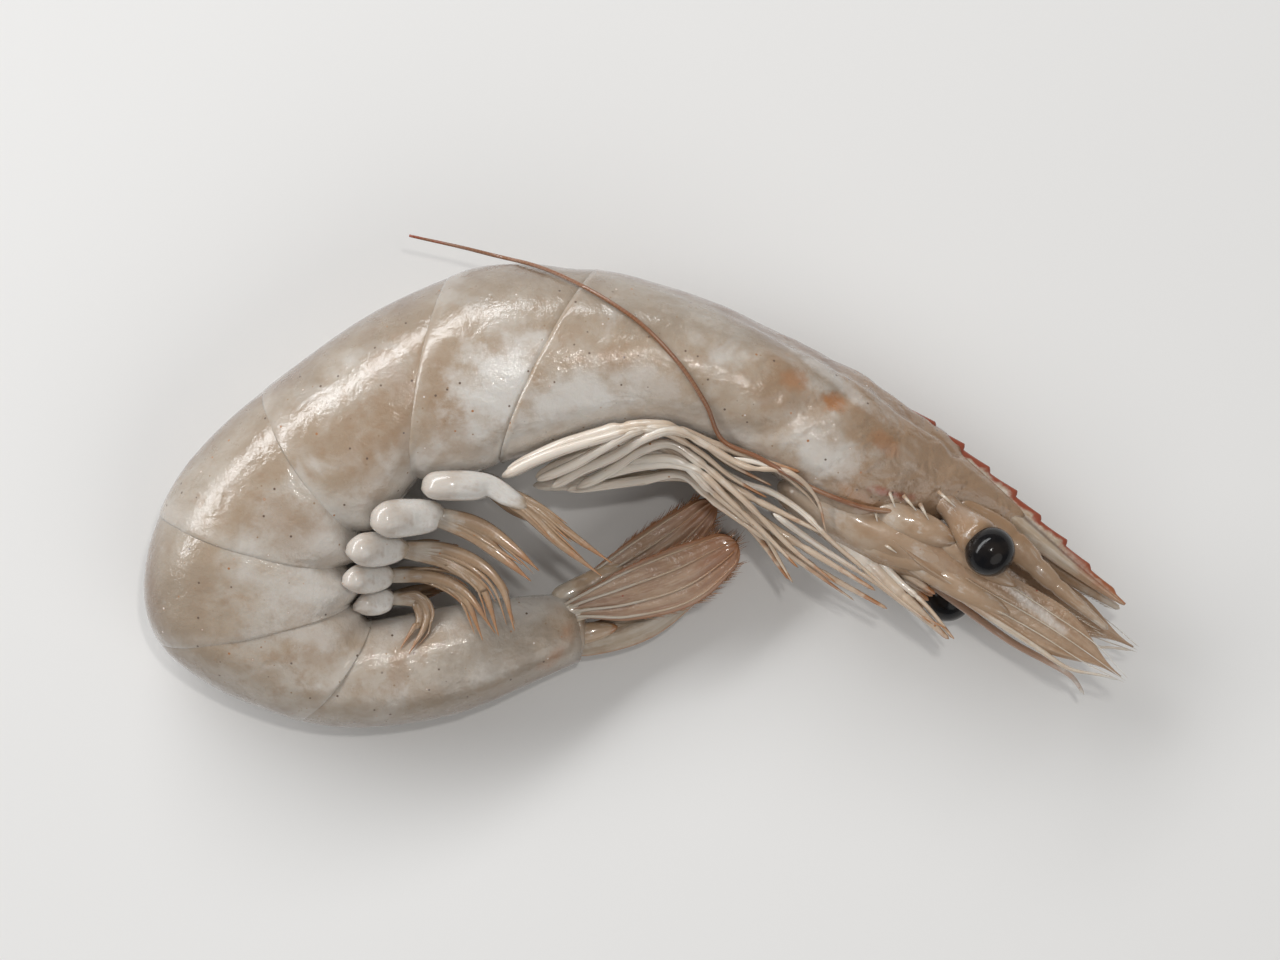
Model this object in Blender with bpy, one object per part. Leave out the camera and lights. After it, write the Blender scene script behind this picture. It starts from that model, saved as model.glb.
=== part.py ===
"""A raw prawn, whole and in its shell, curled up and lying on its left side.

Blender 4.5 Python script, in metres, +Z up. Seen from above, the head points to +X and the
back to +Y. Sizes below are in millimetres. The floor is at Z = 0, and the origin is on it,
under the middle of the prawn.
"""

import math

import bmesh
import bpy
from mathutils import Matrix, Vector
from mathutils.bvhtree import BVHTree

MM = 0.001
GAP = 0.3  # clearance between neighbouring pieces
PIECES = "raw_prawn"
BASE_CENTRE = (0.036, 1.737)  # middle of the base in the plan below, moved to the origin at the end

# Cuts across the body, from the front of the carapace to the root of the tail fan: the point
# on the back, the point on the belly, both in plan, and half the width, which lies along Z.
CARAPACE_RINGS = (
    (31.2, 5.0, 24.6, -3.2, 3.8),
    (27.0, 8.2, 21.2, -2.4, 5.6),
    (19.9, 12.7, 15.6, 1.2, 7.6),
    (12.3, 16.6, 7.9, 5.4, 8.8),
    (4.0, 20.1, -1.5, 6.4, 9.3),
    (-4.1, 22.5, -13.4, 2.75, 9.4),
)
ABDOMEN_RINGS = (
    (-4.1, 22.5, -13.4, 2.75, 9.4),
    (-17.6, 22.0, -21.4, 1.25, 9.0),
    (-35.6, 11.5, -26.9, -3.5, 8.3),
    (-46.6, -0.5, -28.1, -6.5, 7.7),
    (-47.4, -13.75, -27.6, -9.75, 6.8),
    (-34.1, -21.75, -26.6, -11.25, 5.6),
    (-19.6, -21.6, -17.0, -9.6, 4.9),
    (-5.9, -16.25, -7.6, -9.0, 3.4),
)
SEGMENTS = 6
SECTION_SIDES = 20
SECTION_SQUARENESS = 0.86  # below 1 makes the oval cross-section a little boxy
BELLY_HOLLOW = 0.14  # how far the belly is sunk between the side plates, as a share of half depth

# Shares of a segment's length and of its full size there, from its front edge to its back edge.
SEGMENT_PROFILE = ((0.0, 0.93), (0.1, 0.965), (0.35, 1.0), (0.65, 1.015), (0.9, 1.0), (1.0, 0.985))
SIDE_PLATE_DROP = 0.9  # how far the rounded side plates reach past the belly line
CARAPACE_STEPS = 10

ROSTRUM_BACK = ((12.0, 16.6), (20.0, 12.4), (27.9, 7.5), (35.4, 1.2), (42.0, -5.2), (47.4, -10.4))
ROSTRUM_DEPTH = 3.4
ROSTRUM_HALF_WIDTH = 0.65
ROSTRUM_TEETH = 8
TOOTH_HEIGHT = 0.9
TEETH_FROM = 0.36  # share of the ridge's length behind the first tooth

EYE_RADIUS = 2.5
EYES = {"right": (33.9, -5.2, 15.5), "left": (30.3, -9.8, 3.2)}
EYESTALK_ROOTS = {"right": (29.6, 0.4, 13.6), "left": (28.0, -3.4, 3.7)}
EYESTALK_RADII = (0.9, 1.1, 1.4)

# Routes below run in plan from the root of a limb to its tip.
LEG_ROUTES = (
    ((-12.9, 2.6), (-6.4, 5.4), (1.5, 7.0), (8.5, 4.7), (15.5, 2.5)),
    ((-10.1, 2.0), (-4.6, 4.6), (0.6, 5.7), (8.6, 1.2), (17.9, -3.5)),
    ((-7.1, 2.0), (-1.9, 4.2), (2.6, 4.8), (11.6, -2.0), (22.9, -9.0)),
    ((-2.9, 2.5), (2.9, 4.2), (7.9, 0.5), (14.1, -5.0), (24.1, -10.8)),
    ((-10.4, 1.2), (-2.5, 1.6), (4.9, 2.0), (10.4, -2.5), (14.6, -8.0)),
)
LEG_HALF_WIDTHS = (0.6, 1.0, 0.95, 0.6, 0.25)
LEG_HALF_THICKNESS = 0.55
LEG_LANE = 1.4  # spacing of the legs' layers along Z, out from the middle plane
LEG_SAMPLES = 13

MAXILLIPED_ROUTE = ((18.2, -2.6), (21.4, -5.6), (25.4, -9.4), (30.1, -13.75))
MAXILLIPED_HALF_WIDTHS = (0.8, 1.1, 0.8, 0.25)
MAXILLIPED_HEIGHT = 11.6

MOUTHPARTS_ROUTE = ((18.2, -2.2), (21.0, -4.4), (24.6, -6.6), (28.6, -9.6))
MOUTHPARTS_HALF_WIDTHS = (0.9, 1.6, 1.6, 0.5)
MOUTHPARTS_HEIGHT = 9.6

# Per swimmeret: its bulb's two ends and its blade's route, in plan, then the bulb's half width
# and the height of the blade on the upper side.
SWIMMERETS = (
    (((-20.2, 1.2), (-14.6, 1.2)), ((-10.9, -0.9), (-7.4, -3.8), (-3.1, -7.0)), 1.3, 15.2),
    (((-25.0, -2.1), (-19.6, -1.7)), ((-16.0, -3.2), (-12.6, -5.6), (-10.1, -7.6)), 1.6, 13.9),
    (((-27.6, -5.0), (-23.0, -5.0)), ((-18.4, -5.8), (-14.6, -8.4), (-12.9, -13.2)), 1.35, 12.4),
    (((-28.2, -8.0), (-24.4, -7.6)), ((-20.2, -7.6), (-17.0, -9.2), (-14.6, -13.6)), 1.2, 11.0),
    (((-27.4, -10.6), (-24.2, -9.8)), ((-21.6, -9.8), (-20.8, -11.8), (-22.9, -15.0)), 1.0, 9.7),
)
BLADE_HALF_THICKNESS = 0.45
LEFT_BLADE_LENGTH = 5.2  # the lower side's swimmerets lie folded shorter
LEFT_BLADE_HEADINGS = (-40.0, -25.0, 0.0, 5.0, 10.0)  # degrees in plan, one for each of them

SCALE_ROUTE = (
    # the antennal scale: x, y, height over the middle plane, half width
    (24.8, -3.4, 4.2, 0.9),
    (28.3, -5.0, 3.7, 2.0),
    (33.0, -8.3, 2.9, 2.1),
    (39.0, -12.0, 2.9, 2.3),
    (43.4, -14.9, 2.6, 2.3),
    (46.8, -17.4, 2.3, 0.6),
)
SCALE_HALF_THICKNESS = 0.35
LEFT_SWING = 7.0  # degrees that the lower scale and antennule are turned up to the rostrum

ANTENNULE_ROUTE = (
    (30.6, -0.6, 1.7, 1.2),
    (35.4, -3.6, 1.7, 1.5),
    (40.2, -8.2, 1.7, 1.2),
    (45.6, -12.8, 1.6, 0.35),
)
ANTENNULE_HALF_THICKNESS = 0.65

# The upper antenna sweeps back over the carapace. It is laid on whatever is under it.
ANTENNA_ROUTE = (
    (28.0, -3.2),
    (26.1, -1.7),
    (21.6, -0.9),
    (16.6, 1.0),
    (11.5, 3.9),
    (8.0, 5.6),
    (6.4, 9.0),
    (3.6, 13.2),
    (-0.9, 17.6),
    (-8.4, 21.9),
    (-15.5, 24.0),
    (-22.5, 25.6),
)
ANTENNA_RADII = (0.7, 0.8, 0.35, 0.3, 0.28, 0.26, 0.26, 0.25, 0.24, 0.22, 0.2, 0.15)
ANTENNA_FREE_HEIGHT = 9.0
LEFT_ANTENNA_ROUTE = (
    (25.4, -5.4, 7.4, 0.8),
    (27.8, -7.6, 7.4, 0.85),
    (31.0, -10.6, 7.6, 0.35),
    (36.0, -14.6, 7.4, 0.28),
    (43.4, -19.0, 6.0, 0.2),
)

# Tail fan blades: plan route with half widths, and heights at the root and the tip.
TELSON = (((-5.2, -14.0), 1.6), ((0.6, -12.2), 1.7), ((5.6, -8.9), 1.0), ((9.4, -5.6), 0.3))
UROPODS = {
    "outer": (((-6.4, -10.9), 0.9), ((-1.4, -9.6), 2.2), ((4.4, -7.6), 2.6), ((9.6, -4.4), 1.4)),
    "inner": (((-6.2, -9.4), 0.8), ((-1.6, -7.2), 1.8), ((3.4, -4.0), 2.0), ((7.4, -0.4), 1.0)),
}
FAN_HEIGHTS = {"outer": (2.6, 3.0), "inner": (1.3, 1.5)}  # over and under the telson
TELSON_HEIGHT = 3.5
FAN_HALF_THICKNESS = 0.35


def millimetres(*values):
    """A vector in metres from millimetres."""
    return Vector(values) * MM


def hermite(knots, rows, at):
    """Rows of numbers given at the knots, read between them on a smooth curve."""
    last = len(knots) - 1
    i = min(max(sum(k <= at for k in knots) - 1, 0), last - 1)

    def slope(j):
        a, b = max(j - 1, 0), min(j + 1, last)
        return [(q - p) / (knots[b] - knots[a]) for p, q in zip(rows[a], rows[b])]

    span = knots[i + 1] - knots[i]
    t = (at - knots[i]) / span
    weights = (
        2 * t**3 - 3 * t**2 + 1,
        (t**3 - 2 * t**2 + t) * span,
        3 * t**2 - 2 * t**3,
        (t**3 - t**2) * span,
    )
    parts = (rows[i], slope(i), rows[i + 1], slope(i + 1))
    return [sum(w * part[c] for w, part in zip(weights, parts)) for c in range(len(rows[i]))]


def plan_knots(rows):
    """Distances along the rows, measured in plan, as knots for hermite()."""
    knots = [0.0]
    for p, q in zip(rows, rows[1:]):
        knots.append(knots[-1] + math.dist(p[:2], q[:2]))
    return knots


def smooth_rows(rows, count):
    """Evenly spread rows on a smooth curve through the given ones."""
    knots = plan_knots(rows)
    return [hermite(knots, rows, knots[-1] * i / (count - 1)) for i in range(count)]


def mirrored(height):
    """The height on the lower side that matches one on the upper side."""
    return 2 * MIDDLE - height


def lying_height(half_width):
    """Height of a ring's middle plane when its lowest side lies on the floor."""
    return half_width * math.cos(math.pi / SECTION_SIDES) ** SECTION_SQUARENESS


MIDDLE = lying_height(CARAPACE_RINGS[-1][4])  # height of the head's middle plane


def section(row, height, size=1.0, shift=0.0):
    """The points round one ring. Shift moves the ring along the body, towards the tail."""
    back, belly, half_width = Vector(row[0:2]), Vector(row[2:4]), row[4]
    centre, half_depth = (back + belly) / 2, (back - belly).length / 2
    u = (back - belly).normalized()
    centre = centre + Vector((-u.y, u.x)) * shift
    points = []
    for k in range(SECTION_SIDES):
        angle = (k + 0.5) * math.tau / SECTION_SIDES
        deep = math.copysign(abs(math.cos(angle)) ** SECTION_SQUARENESS, math.cos(angle))
        wide = math.copysign(abs(math.sin(angle)) ** SECTION_SQUARENESS, math.sin(angle))
        if deep < 0:
            deep += BELLY_HOLLOW * math.exp(-((wide / 0.4) ** 2))
        plan = centre + u * deep * half_depth * size
        points.append(millimetres(plan.x, plan.y, height + wide * half_width * size))
    return points


def glossy(name, colour, roughness):
    """A plain glossy material."""
    material = bpy.data.materials.new(name)
    material.use_nodes = True
    shader = material.node_tree.nodes["Principled BSDF"]
    shader.inputs["Base Color"].default_value = (*colour, 1.0)
    shader.inputs["Roughness"].default_value = roughness
    shader.inputs["Metallic"].default_value = 0.0
    return material


def add_object(name, mesh, material, group):
    """A smooth-shaded object in the group, with its material."""
    mesh.shade_smooth()
    mesh.set_sharp_from_angle(angle=math.radians(50))
    mesh.materials.clear()
    mesh.materials.append(material)
    obj = bpy.data.objects.new(name, mesh)
    group.objects.link(obj)
    return obj


def loft(name, rings, material, group):
    """One closed solid through rings that have the same number of points."""
    bm = bmesh.new()
    loops = [[bm.verts.new(point) for point in ring] for ring in rings]
    for a, b in zip(loops, loops[1:]):
        for k in range(len(a)):
            m = (k + 1) % len(a)
            bm.faces.new((a[k], a[m], b[m], b[k]))
    bm.faces.new(loops[0][::-1])
    bm.faces.new(loops[-1])
    bmesh.ops.recalc_face_normals(bm, faces=bm.faces)
    mesh = bpy.data.meshes.new(name)
    bm.to_mesh(mesh)
    bm.free()
    return add_object(name, mesh, material, group)


def sweep(name, route, material, group, sides=8):
    """A solid along rows x, y, z, half width and half thickness. The thickness is up."""
    points = [millimetres(*row[:3]) for row in route]
    rings = []
    for i, (point, row) in enumerate(zip(points, route)):
        along = points[min(i + 1, len(points) - 1)] - points[max(i - 1, 0)]
        across = along.cross(Vector((0, 0, 1))).normalized()
        thick = across.cross(along).normalized()
        ring = []
        for k in range(sides):
            angle = (k + 0.5) * math.tau / sides
            offset = across * math.cos(angle) * row[3] + thick * math.sin(angle) * row[4]
            ring.append(point + offset * MM)
        rings.append(ring)
    return loft(name, rings, material, group)


def laid_on(rows, solids, clearance):
    """The rows x, y, z, half width, half thickness, raised to lie on the solids under them."""
    bpy.context.view_layer.update()
    graph = bpy.context.evaluated_depsgraph_get()
    trees = [BVHTree.FromObject(solid, graph) for solid in solids]
    raised = []
    for x, y, z, half_width, half_thickness in rows:
        for dx, dy in ((0, 0), (1, 0), (-1, 0), (0, 1), (0, -1)):
            reach = half_width + 0.1
            start = millimetres(x + dx * reach, y + dy * reach, 60)
            for tree in trees:
                hit = tree.ray_cast(start, Vector((0, 0, -1)))[0]
                if hit:
                    z = max(z, hit.z / MM + clearance + half_thickness)
        raised.append([x, y, z, half_width, half_thickness])
    for _ in range(2):
        for i in range(1, len(raised) - 1):
            mean = (raised[i - 1][2] + raised[i + 1][2]) / 2
            raised[i][2] = max(raised[i][2], mean)
    return raised


def mesh_of(curve_object):
    """The mesh that a curve object makes, welded where its caps meet its sides."""
    bpy.context.view_layer.update()
    graph = bpy.context.evaluated_depsgraph_get()
    mesh = bpy.data.meshes.new_from_object(curve_object.evaluated_get(graph))
    mesh.transform(curve_object.matrix_world)
    bm = bmesh.new()
    bm.from_mesh(mesh)
    bmesh.ops.remove_doubles(bm, verts=bm.verts, dist=1e-6)
    bmesh.ops.recalc_face_normals(bm, faces=bm.faces)
    bm.to_mesh(mesh)
    bm.free()
    bpy.data.objects.remove(curve_object)
    return mesh


def tube(name, route, material, group, resolution=1):
    """A round limb: a curve with a bevel, through rows x, y, z and radius."""
    data = bpy.data.curves.new(name, "CURVE")
    data.dimensions = "3D"
    data.bevel_depth = MM
    data.bevel_resolution = resolution
    data.use_fill_caps = True
    spline = data.splines.new("POLY")
    spline.points.add(len(route) - 1)
    for point, (x, y, z, radius) in zip(spline.points, route):
        point.co = (*millimetres(x, y, z), 1.0)
        point.radius = radius
    curve = bpy.data.objects.new(name + "_path", data)
    group.objects.link(curve)
    return add_object(name, mesh_of(curve), material, group)


def plate(name, outline, height, half_thickness, material, group):
    """A flat plate with a closed outline in plan."""
    data = bpy.data.curves.new(name, "CURVE")
    data.dimensions = "2D"
    data.fill_mode = "BOTH"
    data.extrude = half_thickness * MM
    spline = data.splines.new("POLY")
    spline.points.add(len(outline) - 1)
    for point, (x, y) in zip(spline.points, outline):
        point.co = (*millimetres(x, y, 0), 1.0)
    spline.use_cyclic_u = True
    curve = bpy.data.objects.new(name + "_outline", data)
    curve.location.z = height * MM
    group.objects.link(curve)
    return add_object(name, mesh_of(curve), material, group)


def join(base, other):
    """Unites two closed solids in the base object, and removes the other one."""
    modifier = base.modifiers.new("union", "BOOLEAN")
    modifier.operation = "UNION"
    modifier.solver = "EXACT"
    modifier.object = other
    bpy.context.view_layer.update()
    graph = bpy.context.evaluated_depsgraph_get()
    mesh = bpy.data.meshes.new_from_object(base.evaluated_get(graph))
    base.modifiers.clear()
    base.data = mesh
    bpy.data.objects.remove(other)
    mesh.set_sharp_from_angle(angle=math.radians(50))
    return base


def rostrum_outline():
    """The toothed blade over the head: forwards along its teeth, then back under it."""
    ridge = [Vector(point) for point in smooth_rows(ROSTRUM_BACK, 41)]
    last = len(ridge) - 1
    first = round(TEETH_FROM * last)
    step = (last - first) // ROSTRUM_TEETH
    outline = []
    for i, point in enumerate(ridge[:-1]):
        along = (ridge[i + 1] - point).normalized()
        out = Vector((-along.y, along.x))
        past = i - first
        if past < 0 and i % 4 == 0:
            outline.append(point - out * 0.4)
        elif past >= 0 and past % step == 0:
            outline.append(point)
        elif past >= 0 and past % step == step - 1:
            outline.append(point + out * TOOTH_HEIGHT)
    outline.append(ridge[-1])
    for i in range(1, 9):
        at = round(last * (1 - i / 8))
        along = (ridge[min(at + 1, last)] - ridge[max(at - 1, 0)]).normalized()
        depth = ROSTRUM_DEPTH * min(1.0, 2.2 * (i / 8) ** 0.9)
        outline.append(ridge[at] - Vector((-along.y, along.x)) * depth)
    return outline


def make_carapace(material, group):
    """The head's shell, with the toothed rostrum in one piece with it."""
    rings = []
    for i, row in enumerate(smooth_rows(CARAPACE_RINGS, CARAPACE_STEPS)):
        share = i / (CARAPACE_STEPS - 1)
        shift = -GAP / 2 if share == 1.0 else 0.0
        rings.append(section(row, MIDDLE, 1.0 - 0.1 * (1 - share) ** 8, shift))
    shell = loft("carapace", rings, material, group)
    blade = plate("rostrum", rostrum_outline(), MIDDLE, ROSTRUM_HALF_WIDTH, material, group)
    return join(shell, blade)


def make_abdomen(material, group):
    """Six shell rings, each a little wider at its back edge than the front of the next."""
    middles = [((a + c) / 2, (b + d) / 2) for a, b, c, d, _ in ABDOMEN_RINGS]
    knots = plan_knots(middles)
    ends = knots[:SEGMENTS] + [knots[-1]]
    solids = []
    for number, (start, end) in enumerate(zip(ends, ends[1:]), 1):
        rings = []
        for share, size in SEGMENT_PROFILE:
            row = hermite(knots, ABDOMEN_RINGS, start + (end - start) * share)
            reach = Vector((row[2] - row[0], row[3] - row[1])).normalized()
            drop = SIDE_PLATE_DROP * math.sin(math.pi * share) if number < SEGMENTS else 0.0
            row[2] += reach.x * drop
            row[3] += reach.y * drop
            shift = {0.0: GAP / 2, 1.0: -GAP / 2}.get(share, 0.0)
            rings.append(section(row, lying_height(row[4] * size), size, shift))
        solids.append(loft(f"abdomen_{number}", rings, material, group))
    return solids


def make_eyes(black, flesh, group):
    """Round black eyes on short stalks."""
    for side, centre in EYES.items():
        bpy.ops.mesh.primitive_uv_sphere_add(segments=16, ring_count=10, radius=EYE_RADIUS * MM)
        ball = bpy.context.object
        ball.location = millimetres(*centre)
        ball.name = f"eye_{side}"
        ball.data.materials.append(black)
        ball.data.shade_smooth()
        for old in list(ball.users_collection):
            old.objects.unlink(ball)
        group.objects.link(ball)
        root, eye = Vector(EYESTALK_ROOTS[side]), Vector(centre)
        tip = eye - (eye - root).normalized() * (EYE_RADIUS + GAP)
        places = (root, root.lerp(tip, 0.5), tip)
        route = [(*place, radius) for place, radius in zip(places, EYESTALK_RADII)]
        tube(f"eyestalk_{side}", route, flesh, group)


def turned(rows, degrees):
    """Rows x, y and more, turned in plan about the first one."""
    spin = Matrix.Rotation(math.radians(degrees), 2)
    root = Vector(rows[0][:2])
    return [(*(root + spin @ (Vector(row[:2]) - root)), *row[2:]) for row in rows]


def make_head_limbs(flesh, group):
    """Antennules and antennal scales, in pairs about the head's middle plane."""
    made = {}
    for side, sign in (("right", 1), ("left", -1)):
        pairs = (
            ("antennule", smooth_rows(ANTENNULE_ROUTE, 9), ANTENNULE_HALF_THICKNESS),
            ("antennal_scale", smooth_rows(SCALE_ROUTE, 11), SCALE_HALF_THICKNESS),
        )
        for kind, route, thick in pairs:
            if side == "left":
                route = turned(route, LEFT_SWING)
            rows = [(x, y, MIDDLE + sign * up, wide, thick) for x, y, up, wide in route]
            name = f"{kind}_{side}"
            made[name] = sweep(name, rows, flesh, group)
    return made


def limb_rows(route, half_widths, half_thickness, height, count):
    """Rows along a limb at one height, with its half widths spread evenly along it."""
    rows = []
    for i, (x, y) in enumerate(smooth_rows(route, count)):
        at = i / (count - 1) * (len(half_widths) - 1)
        wide = hermite(range(len(half_widths)), [(w,) for w in half_widths], at)[0]
        rows.append((x, y, height, wide, min(half_thickness, wide)))
    return rows


def make_legs(flesh, group, body):
    """Five pairs of walking legs and a pair of maxillipeds, folded forwards in layers."""
    upper = []
    for number, route in enumerate(LEG_ROUTES, 1):
        height = MIDDLE + (len(LEG_ROUTES) - number + 0.46) * LEG_LANE
        rows = limb_rows(route, LEG_HALF_WIDTHS, LEG_HALF_THICKNESS, height, LEG_SAMPLES)
        rows = laid_on(rows, body, GAP)
        upper.append(sweep(f"leg_right_{number}", rows, flesh, group))
        rows = [(x, y, mirrored(z), wide, thick) for x, y, z, wide, thick in rows]
        sweep(f"leg_left_{number}", rows, flesh, group)
    for side, height in (("right", MAXILLIPED_HEIGHT), ("left", mirrored(MAXILLIPED_HEIGHT))):
        rows = limb_rows(MAXILLIPED_ROUTE, MAXILLIPED_HALF_WIDTHS, 0.7, height, 9)
        sweep(f"maxilliped_{side}", rows, flesh, group)
    rows = limb_rows(MOUTHPARTS_ROUTE, MOUTHPARTS_HALF_WIDTHS, 0.95, MOUTHPARTS_HEIGHT, 8)
    sweep("mouthparts", rows, flesh, group, sides=10)
    return upper


def make_swimmerets(flesh, group, body):
    """Five pairs of swimmerets, each a round bulb with a blade that tapers behind it."""
    for number, (bulb, blade, bulb_half_width, height) in enumerate(SWIMMERETS, 1):
        start, end = Vector(bulb[0]), Vector(bulb[1])
        stations = [
            (*start.lerp(end, i / 3), bulb_half_width * width, bulb_half_width * width * 0.75)
            for i, width in enumerate((0.45, 0.95, 1.0, 0.62))
        ]
        heading = math.radians(LEFT_BLADE_HEADINGS[number - 1])
        reach = Vector((math.cos(heading), math.sin(heading))) * LEFT_BLADE_LENGTH
        blades = {"right": blade, "left": [end + reach * i / 3 for i in (1, 2, 3)]}
        body_half_width = (ABDOMEN_RINGS[number - 1][4] + ABDOMEN_RINGS[number][4]) / 2
        heights = {"right": height, "left": 2 * lying_height(body_half_width) - height}
        for side, places in blades.items():
            route = stations + [
                (*place, bulb_half_width * width, BLADE_HALF_THICKNESS)
                for place, width in zip(places, (0.6, 0.5, 0.16))
            ]
            rows = [
                (x, y, heights[side], wide, min(thick, wide))
                for x, y, wide, thick in smooth_rows(route, 12)
            ]
            if side == "right":
                rows = laid_on(rows, body, GAP)
            sweep(f"swimmeret_{side}_{number}", rows, flesh, group)


def make_antennae(flesh, group, under):
    """The upper antenna lies over the carapace, the lower one stays under the head."""
    route = [
        (*place, radius, radius) for place, radius in zip(ANTENNA_ROUTE, ANTENNA_RADII)
    ]
    rows = [
        (x, y, ANTENNA_FREE_HEIGHT, wide, thick) for x, y, wide, thick in smooth_rows(route, 34)
    ]
    path = [(x, y, z, radius) for x, y, z, radius, _ in laid_on(rows, under, 2 * GAP)]
    tube("antenna_right", path, flesh, group)
    tube("antenna_left", smooth_rows(LEFT_ANTENNA_ROUTE, 12), flesh, group)


def make_tail(shell, group):
    """The telson, with an outer and an inner uropod on each side of it."""
    rows = [(*place, wide) for place, wide in TELSON]
    rows = [
        (x, y, TELSON_HEIGHT, wide, FAN_HALF_THICKNESS) for x, y, wide in smooth_rows(rows, 8)
    ]
    sweep("telson", rows, shell, group, sides=10)
    for kind, places in UROPODS.items():
        root_up, tip_up = FAN_HEIGHTS[kind]
        for side, sign in (("right", 1), ("left", -1)):
            route = [
                (*place, TELSON_HEIGHT + sign * (root_up + (tip_up - root_up) * i / 3), wide)
                for i, (place, wide) in enumerate(places)
            ]
            rows = [(*row, FAN_HALF_THICKNESS) for row in smooth_rows(route, 9)]
            sweep(f"uropod_{kind}_{side}", rows, shell, group, sides=10)


def main():
    for obj in list(bpy.data.objects):
        bpy.data.objects.remove(obj)
    group = bpy.data.collections.new(PIECES)
    bpy.context.scene.collection.children.link(group)
    shell = glossy("shell", (0.50, 0.44, 0.39), 0.25)
    black = glossy("eye_black", (0.01, 0.01, 0.012), 0.1)
    flesh = glossy("limb_flesh", (0.62, 0.52, 0.44), 0.3)
    carapace = make_carapace(shell, group)
    rings = make_abdomen(shell, group)
    make_eyes(black, flesh, group)
    head = make_head_limbs(flesh, group)
    legs = make_legs(flesh, group, [carapace])
    make_swimmerets(flesh, group, [rings[0], rings[-1]])
    make_antennae(flesh, group, [carapace, rings[0], head["antennal_scale_right"], *legs])
    make_tail(shell, group)
    for obj in group.objects:
        obj.location -= millimetres(*BASE_CENTRE, 0)


main()
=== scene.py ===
"""Looks of a raw prawn lying on its left side: wet shell, legs, swimmerets, tail fan and eyes.

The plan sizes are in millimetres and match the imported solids, so each piece sits where its
node is.
"""

import math
import random

import bmesh
import bpy
from mathutils import Matrix, Vector, noise
from mathutils.bvhtree import BVHTree


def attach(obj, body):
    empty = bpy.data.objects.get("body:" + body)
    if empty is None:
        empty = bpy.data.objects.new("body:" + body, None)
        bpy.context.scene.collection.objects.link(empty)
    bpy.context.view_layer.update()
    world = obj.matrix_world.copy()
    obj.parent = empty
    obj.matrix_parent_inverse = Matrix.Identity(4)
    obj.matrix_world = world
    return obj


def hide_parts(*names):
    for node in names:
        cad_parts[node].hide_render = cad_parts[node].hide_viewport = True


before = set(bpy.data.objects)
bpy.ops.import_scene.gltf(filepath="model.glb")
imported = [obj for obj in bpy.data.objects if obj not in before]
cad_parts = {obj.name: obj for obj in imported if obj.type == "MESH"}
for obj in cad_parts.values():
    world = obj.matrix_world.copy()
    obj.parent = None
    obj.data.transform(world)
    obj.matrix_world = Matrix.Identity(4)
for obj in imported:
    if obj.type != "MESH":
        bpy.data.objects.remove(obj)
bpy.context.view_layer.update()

MM = 0.001
BASE_CENTRE = (0.036, 1.737)  # middle of the base in the plan used here

# Cuts across the body: point on the back, point on the belly, half the width.
CARAPACE_RINGS = (
    (31.2, 5.0, 24.6, -3.2, 3.8),
    (27.0, 8.2, 21.2, -2.4, 5.6),
    (19.9, 12.7, 15.6, 1.2, 7.6),
    (12.3, 16.6, 7.9, 5.4, 8.8),
    (4.0, 20.1, -1.5, 6.4, 9.3),
    (-4.1, 22.5, -13.4, 2.75, 9.4),
)
ABDOMEN_RINGS = (
    (-4.1, 22.5, -13.4, 2.75, 9.4),
    (-17.6, 22.0, -21.4, 1.25, 9.0),
    (-35.6, 11.5, -26.9, -3.5, 8.3),
    (-46.6, -0.5, -28.1, -6.5, 7.7),
    (-47.4, -13.75, -27.6, -9.75, 6.8),
    (-34.1, -21.75, -26.6, -11.25, 5.6),
    (-19.6, -21.6, -17.0, -9.6, 4.9),
    (-5.9, -16.25, -7.6, -9.0, 3.4),
)
SQUARENESS = 0.86
LOW_SIDES = 20  # sides of the solids' sections, which set how high the body lies
AROUND = 96
LONG = 60  # rows along a scale or a uropod
SIDES = {"right": 1, "left": -1}  # which way each side lies from the middle plane


def place(x, y, z):
    """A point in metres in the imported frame, from millimetres in plan."""
    return Vector((x - BASE_CENTRE[0], y - BASE_CENTRE[1], z)) * MM


def hermite(knots, rows, at):
    """Rows of numbers given at the knots, read between them on a smooth curve."""
    last = len(knots) - 1
    i = min(max(sum(k <= at for k in knots) - 1, 0), last - 1)

    def slope(j):
        a, b = max(j - 1, 0), min(j + 1, last)
        return [(q - p) / (knots[b] - knots[a]) for p, q in zip(rows[a], rows[b])]

    span = knots[i + 1] - knots[i]
    t = (at - knots[i]) / span
    weights = (
        2 * t**3 - 3 * t**2 + 1,
        (t**3 - 2 * t**2 + t) * span,
        3 * t**2 - 2 * t**3,
        (t**3 - t**2) * span,
    )
    parts = (rows[i], slope(i), rows[i + 1], slope(i + 1))
    return [sum(w * part[c] for w, part in zip(weights, parts)) for c in range(len(rows[i]))]


def plan_knots(rows):
    """Distances along the rows, measured in plan, as knots for hermite()."""
    knots = [0.0]
    for p, q in zip(rows, rows[1:]):
        knots.append(knots[-1] + math.dist(p[:2], q[:2]))
    return knots


def smooth_rows(rows, count):
    """Evenly spread rows on a smooth curve through the given ones."""
    knots = plan_knots(rows)
    return [hermite(knots, rows, knots[-1] * i / (count - 1)) for i in range(count)]


def lying_height(half_width):
    """Height of a ring's middle plane when its lowest side lies on the floor."""
    return half_width * math.cos(math.pi / LOW_SIDES) ** SQUARENESS


MIDDLE = lying_height(CARAPACE_RINGS[-1][4])


def shares(count):
    """So many numbers, evenly spread from 0 to 1."""
    return [i / (count - 1) for i in range(count)]


def step(low, high, value):
    """Smooth step from 0 to 1 as the value goes from low to high."""
    t = min(max((value - low) / (high - low), 0.0), 1.0)
    return t * t * (3 - 2 * t)


def bell(value, width):
    """A rounded hump of 1 at 0 that dies out over a few widths."""
    return math.exp(-((value / width) ** 2))


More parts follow.
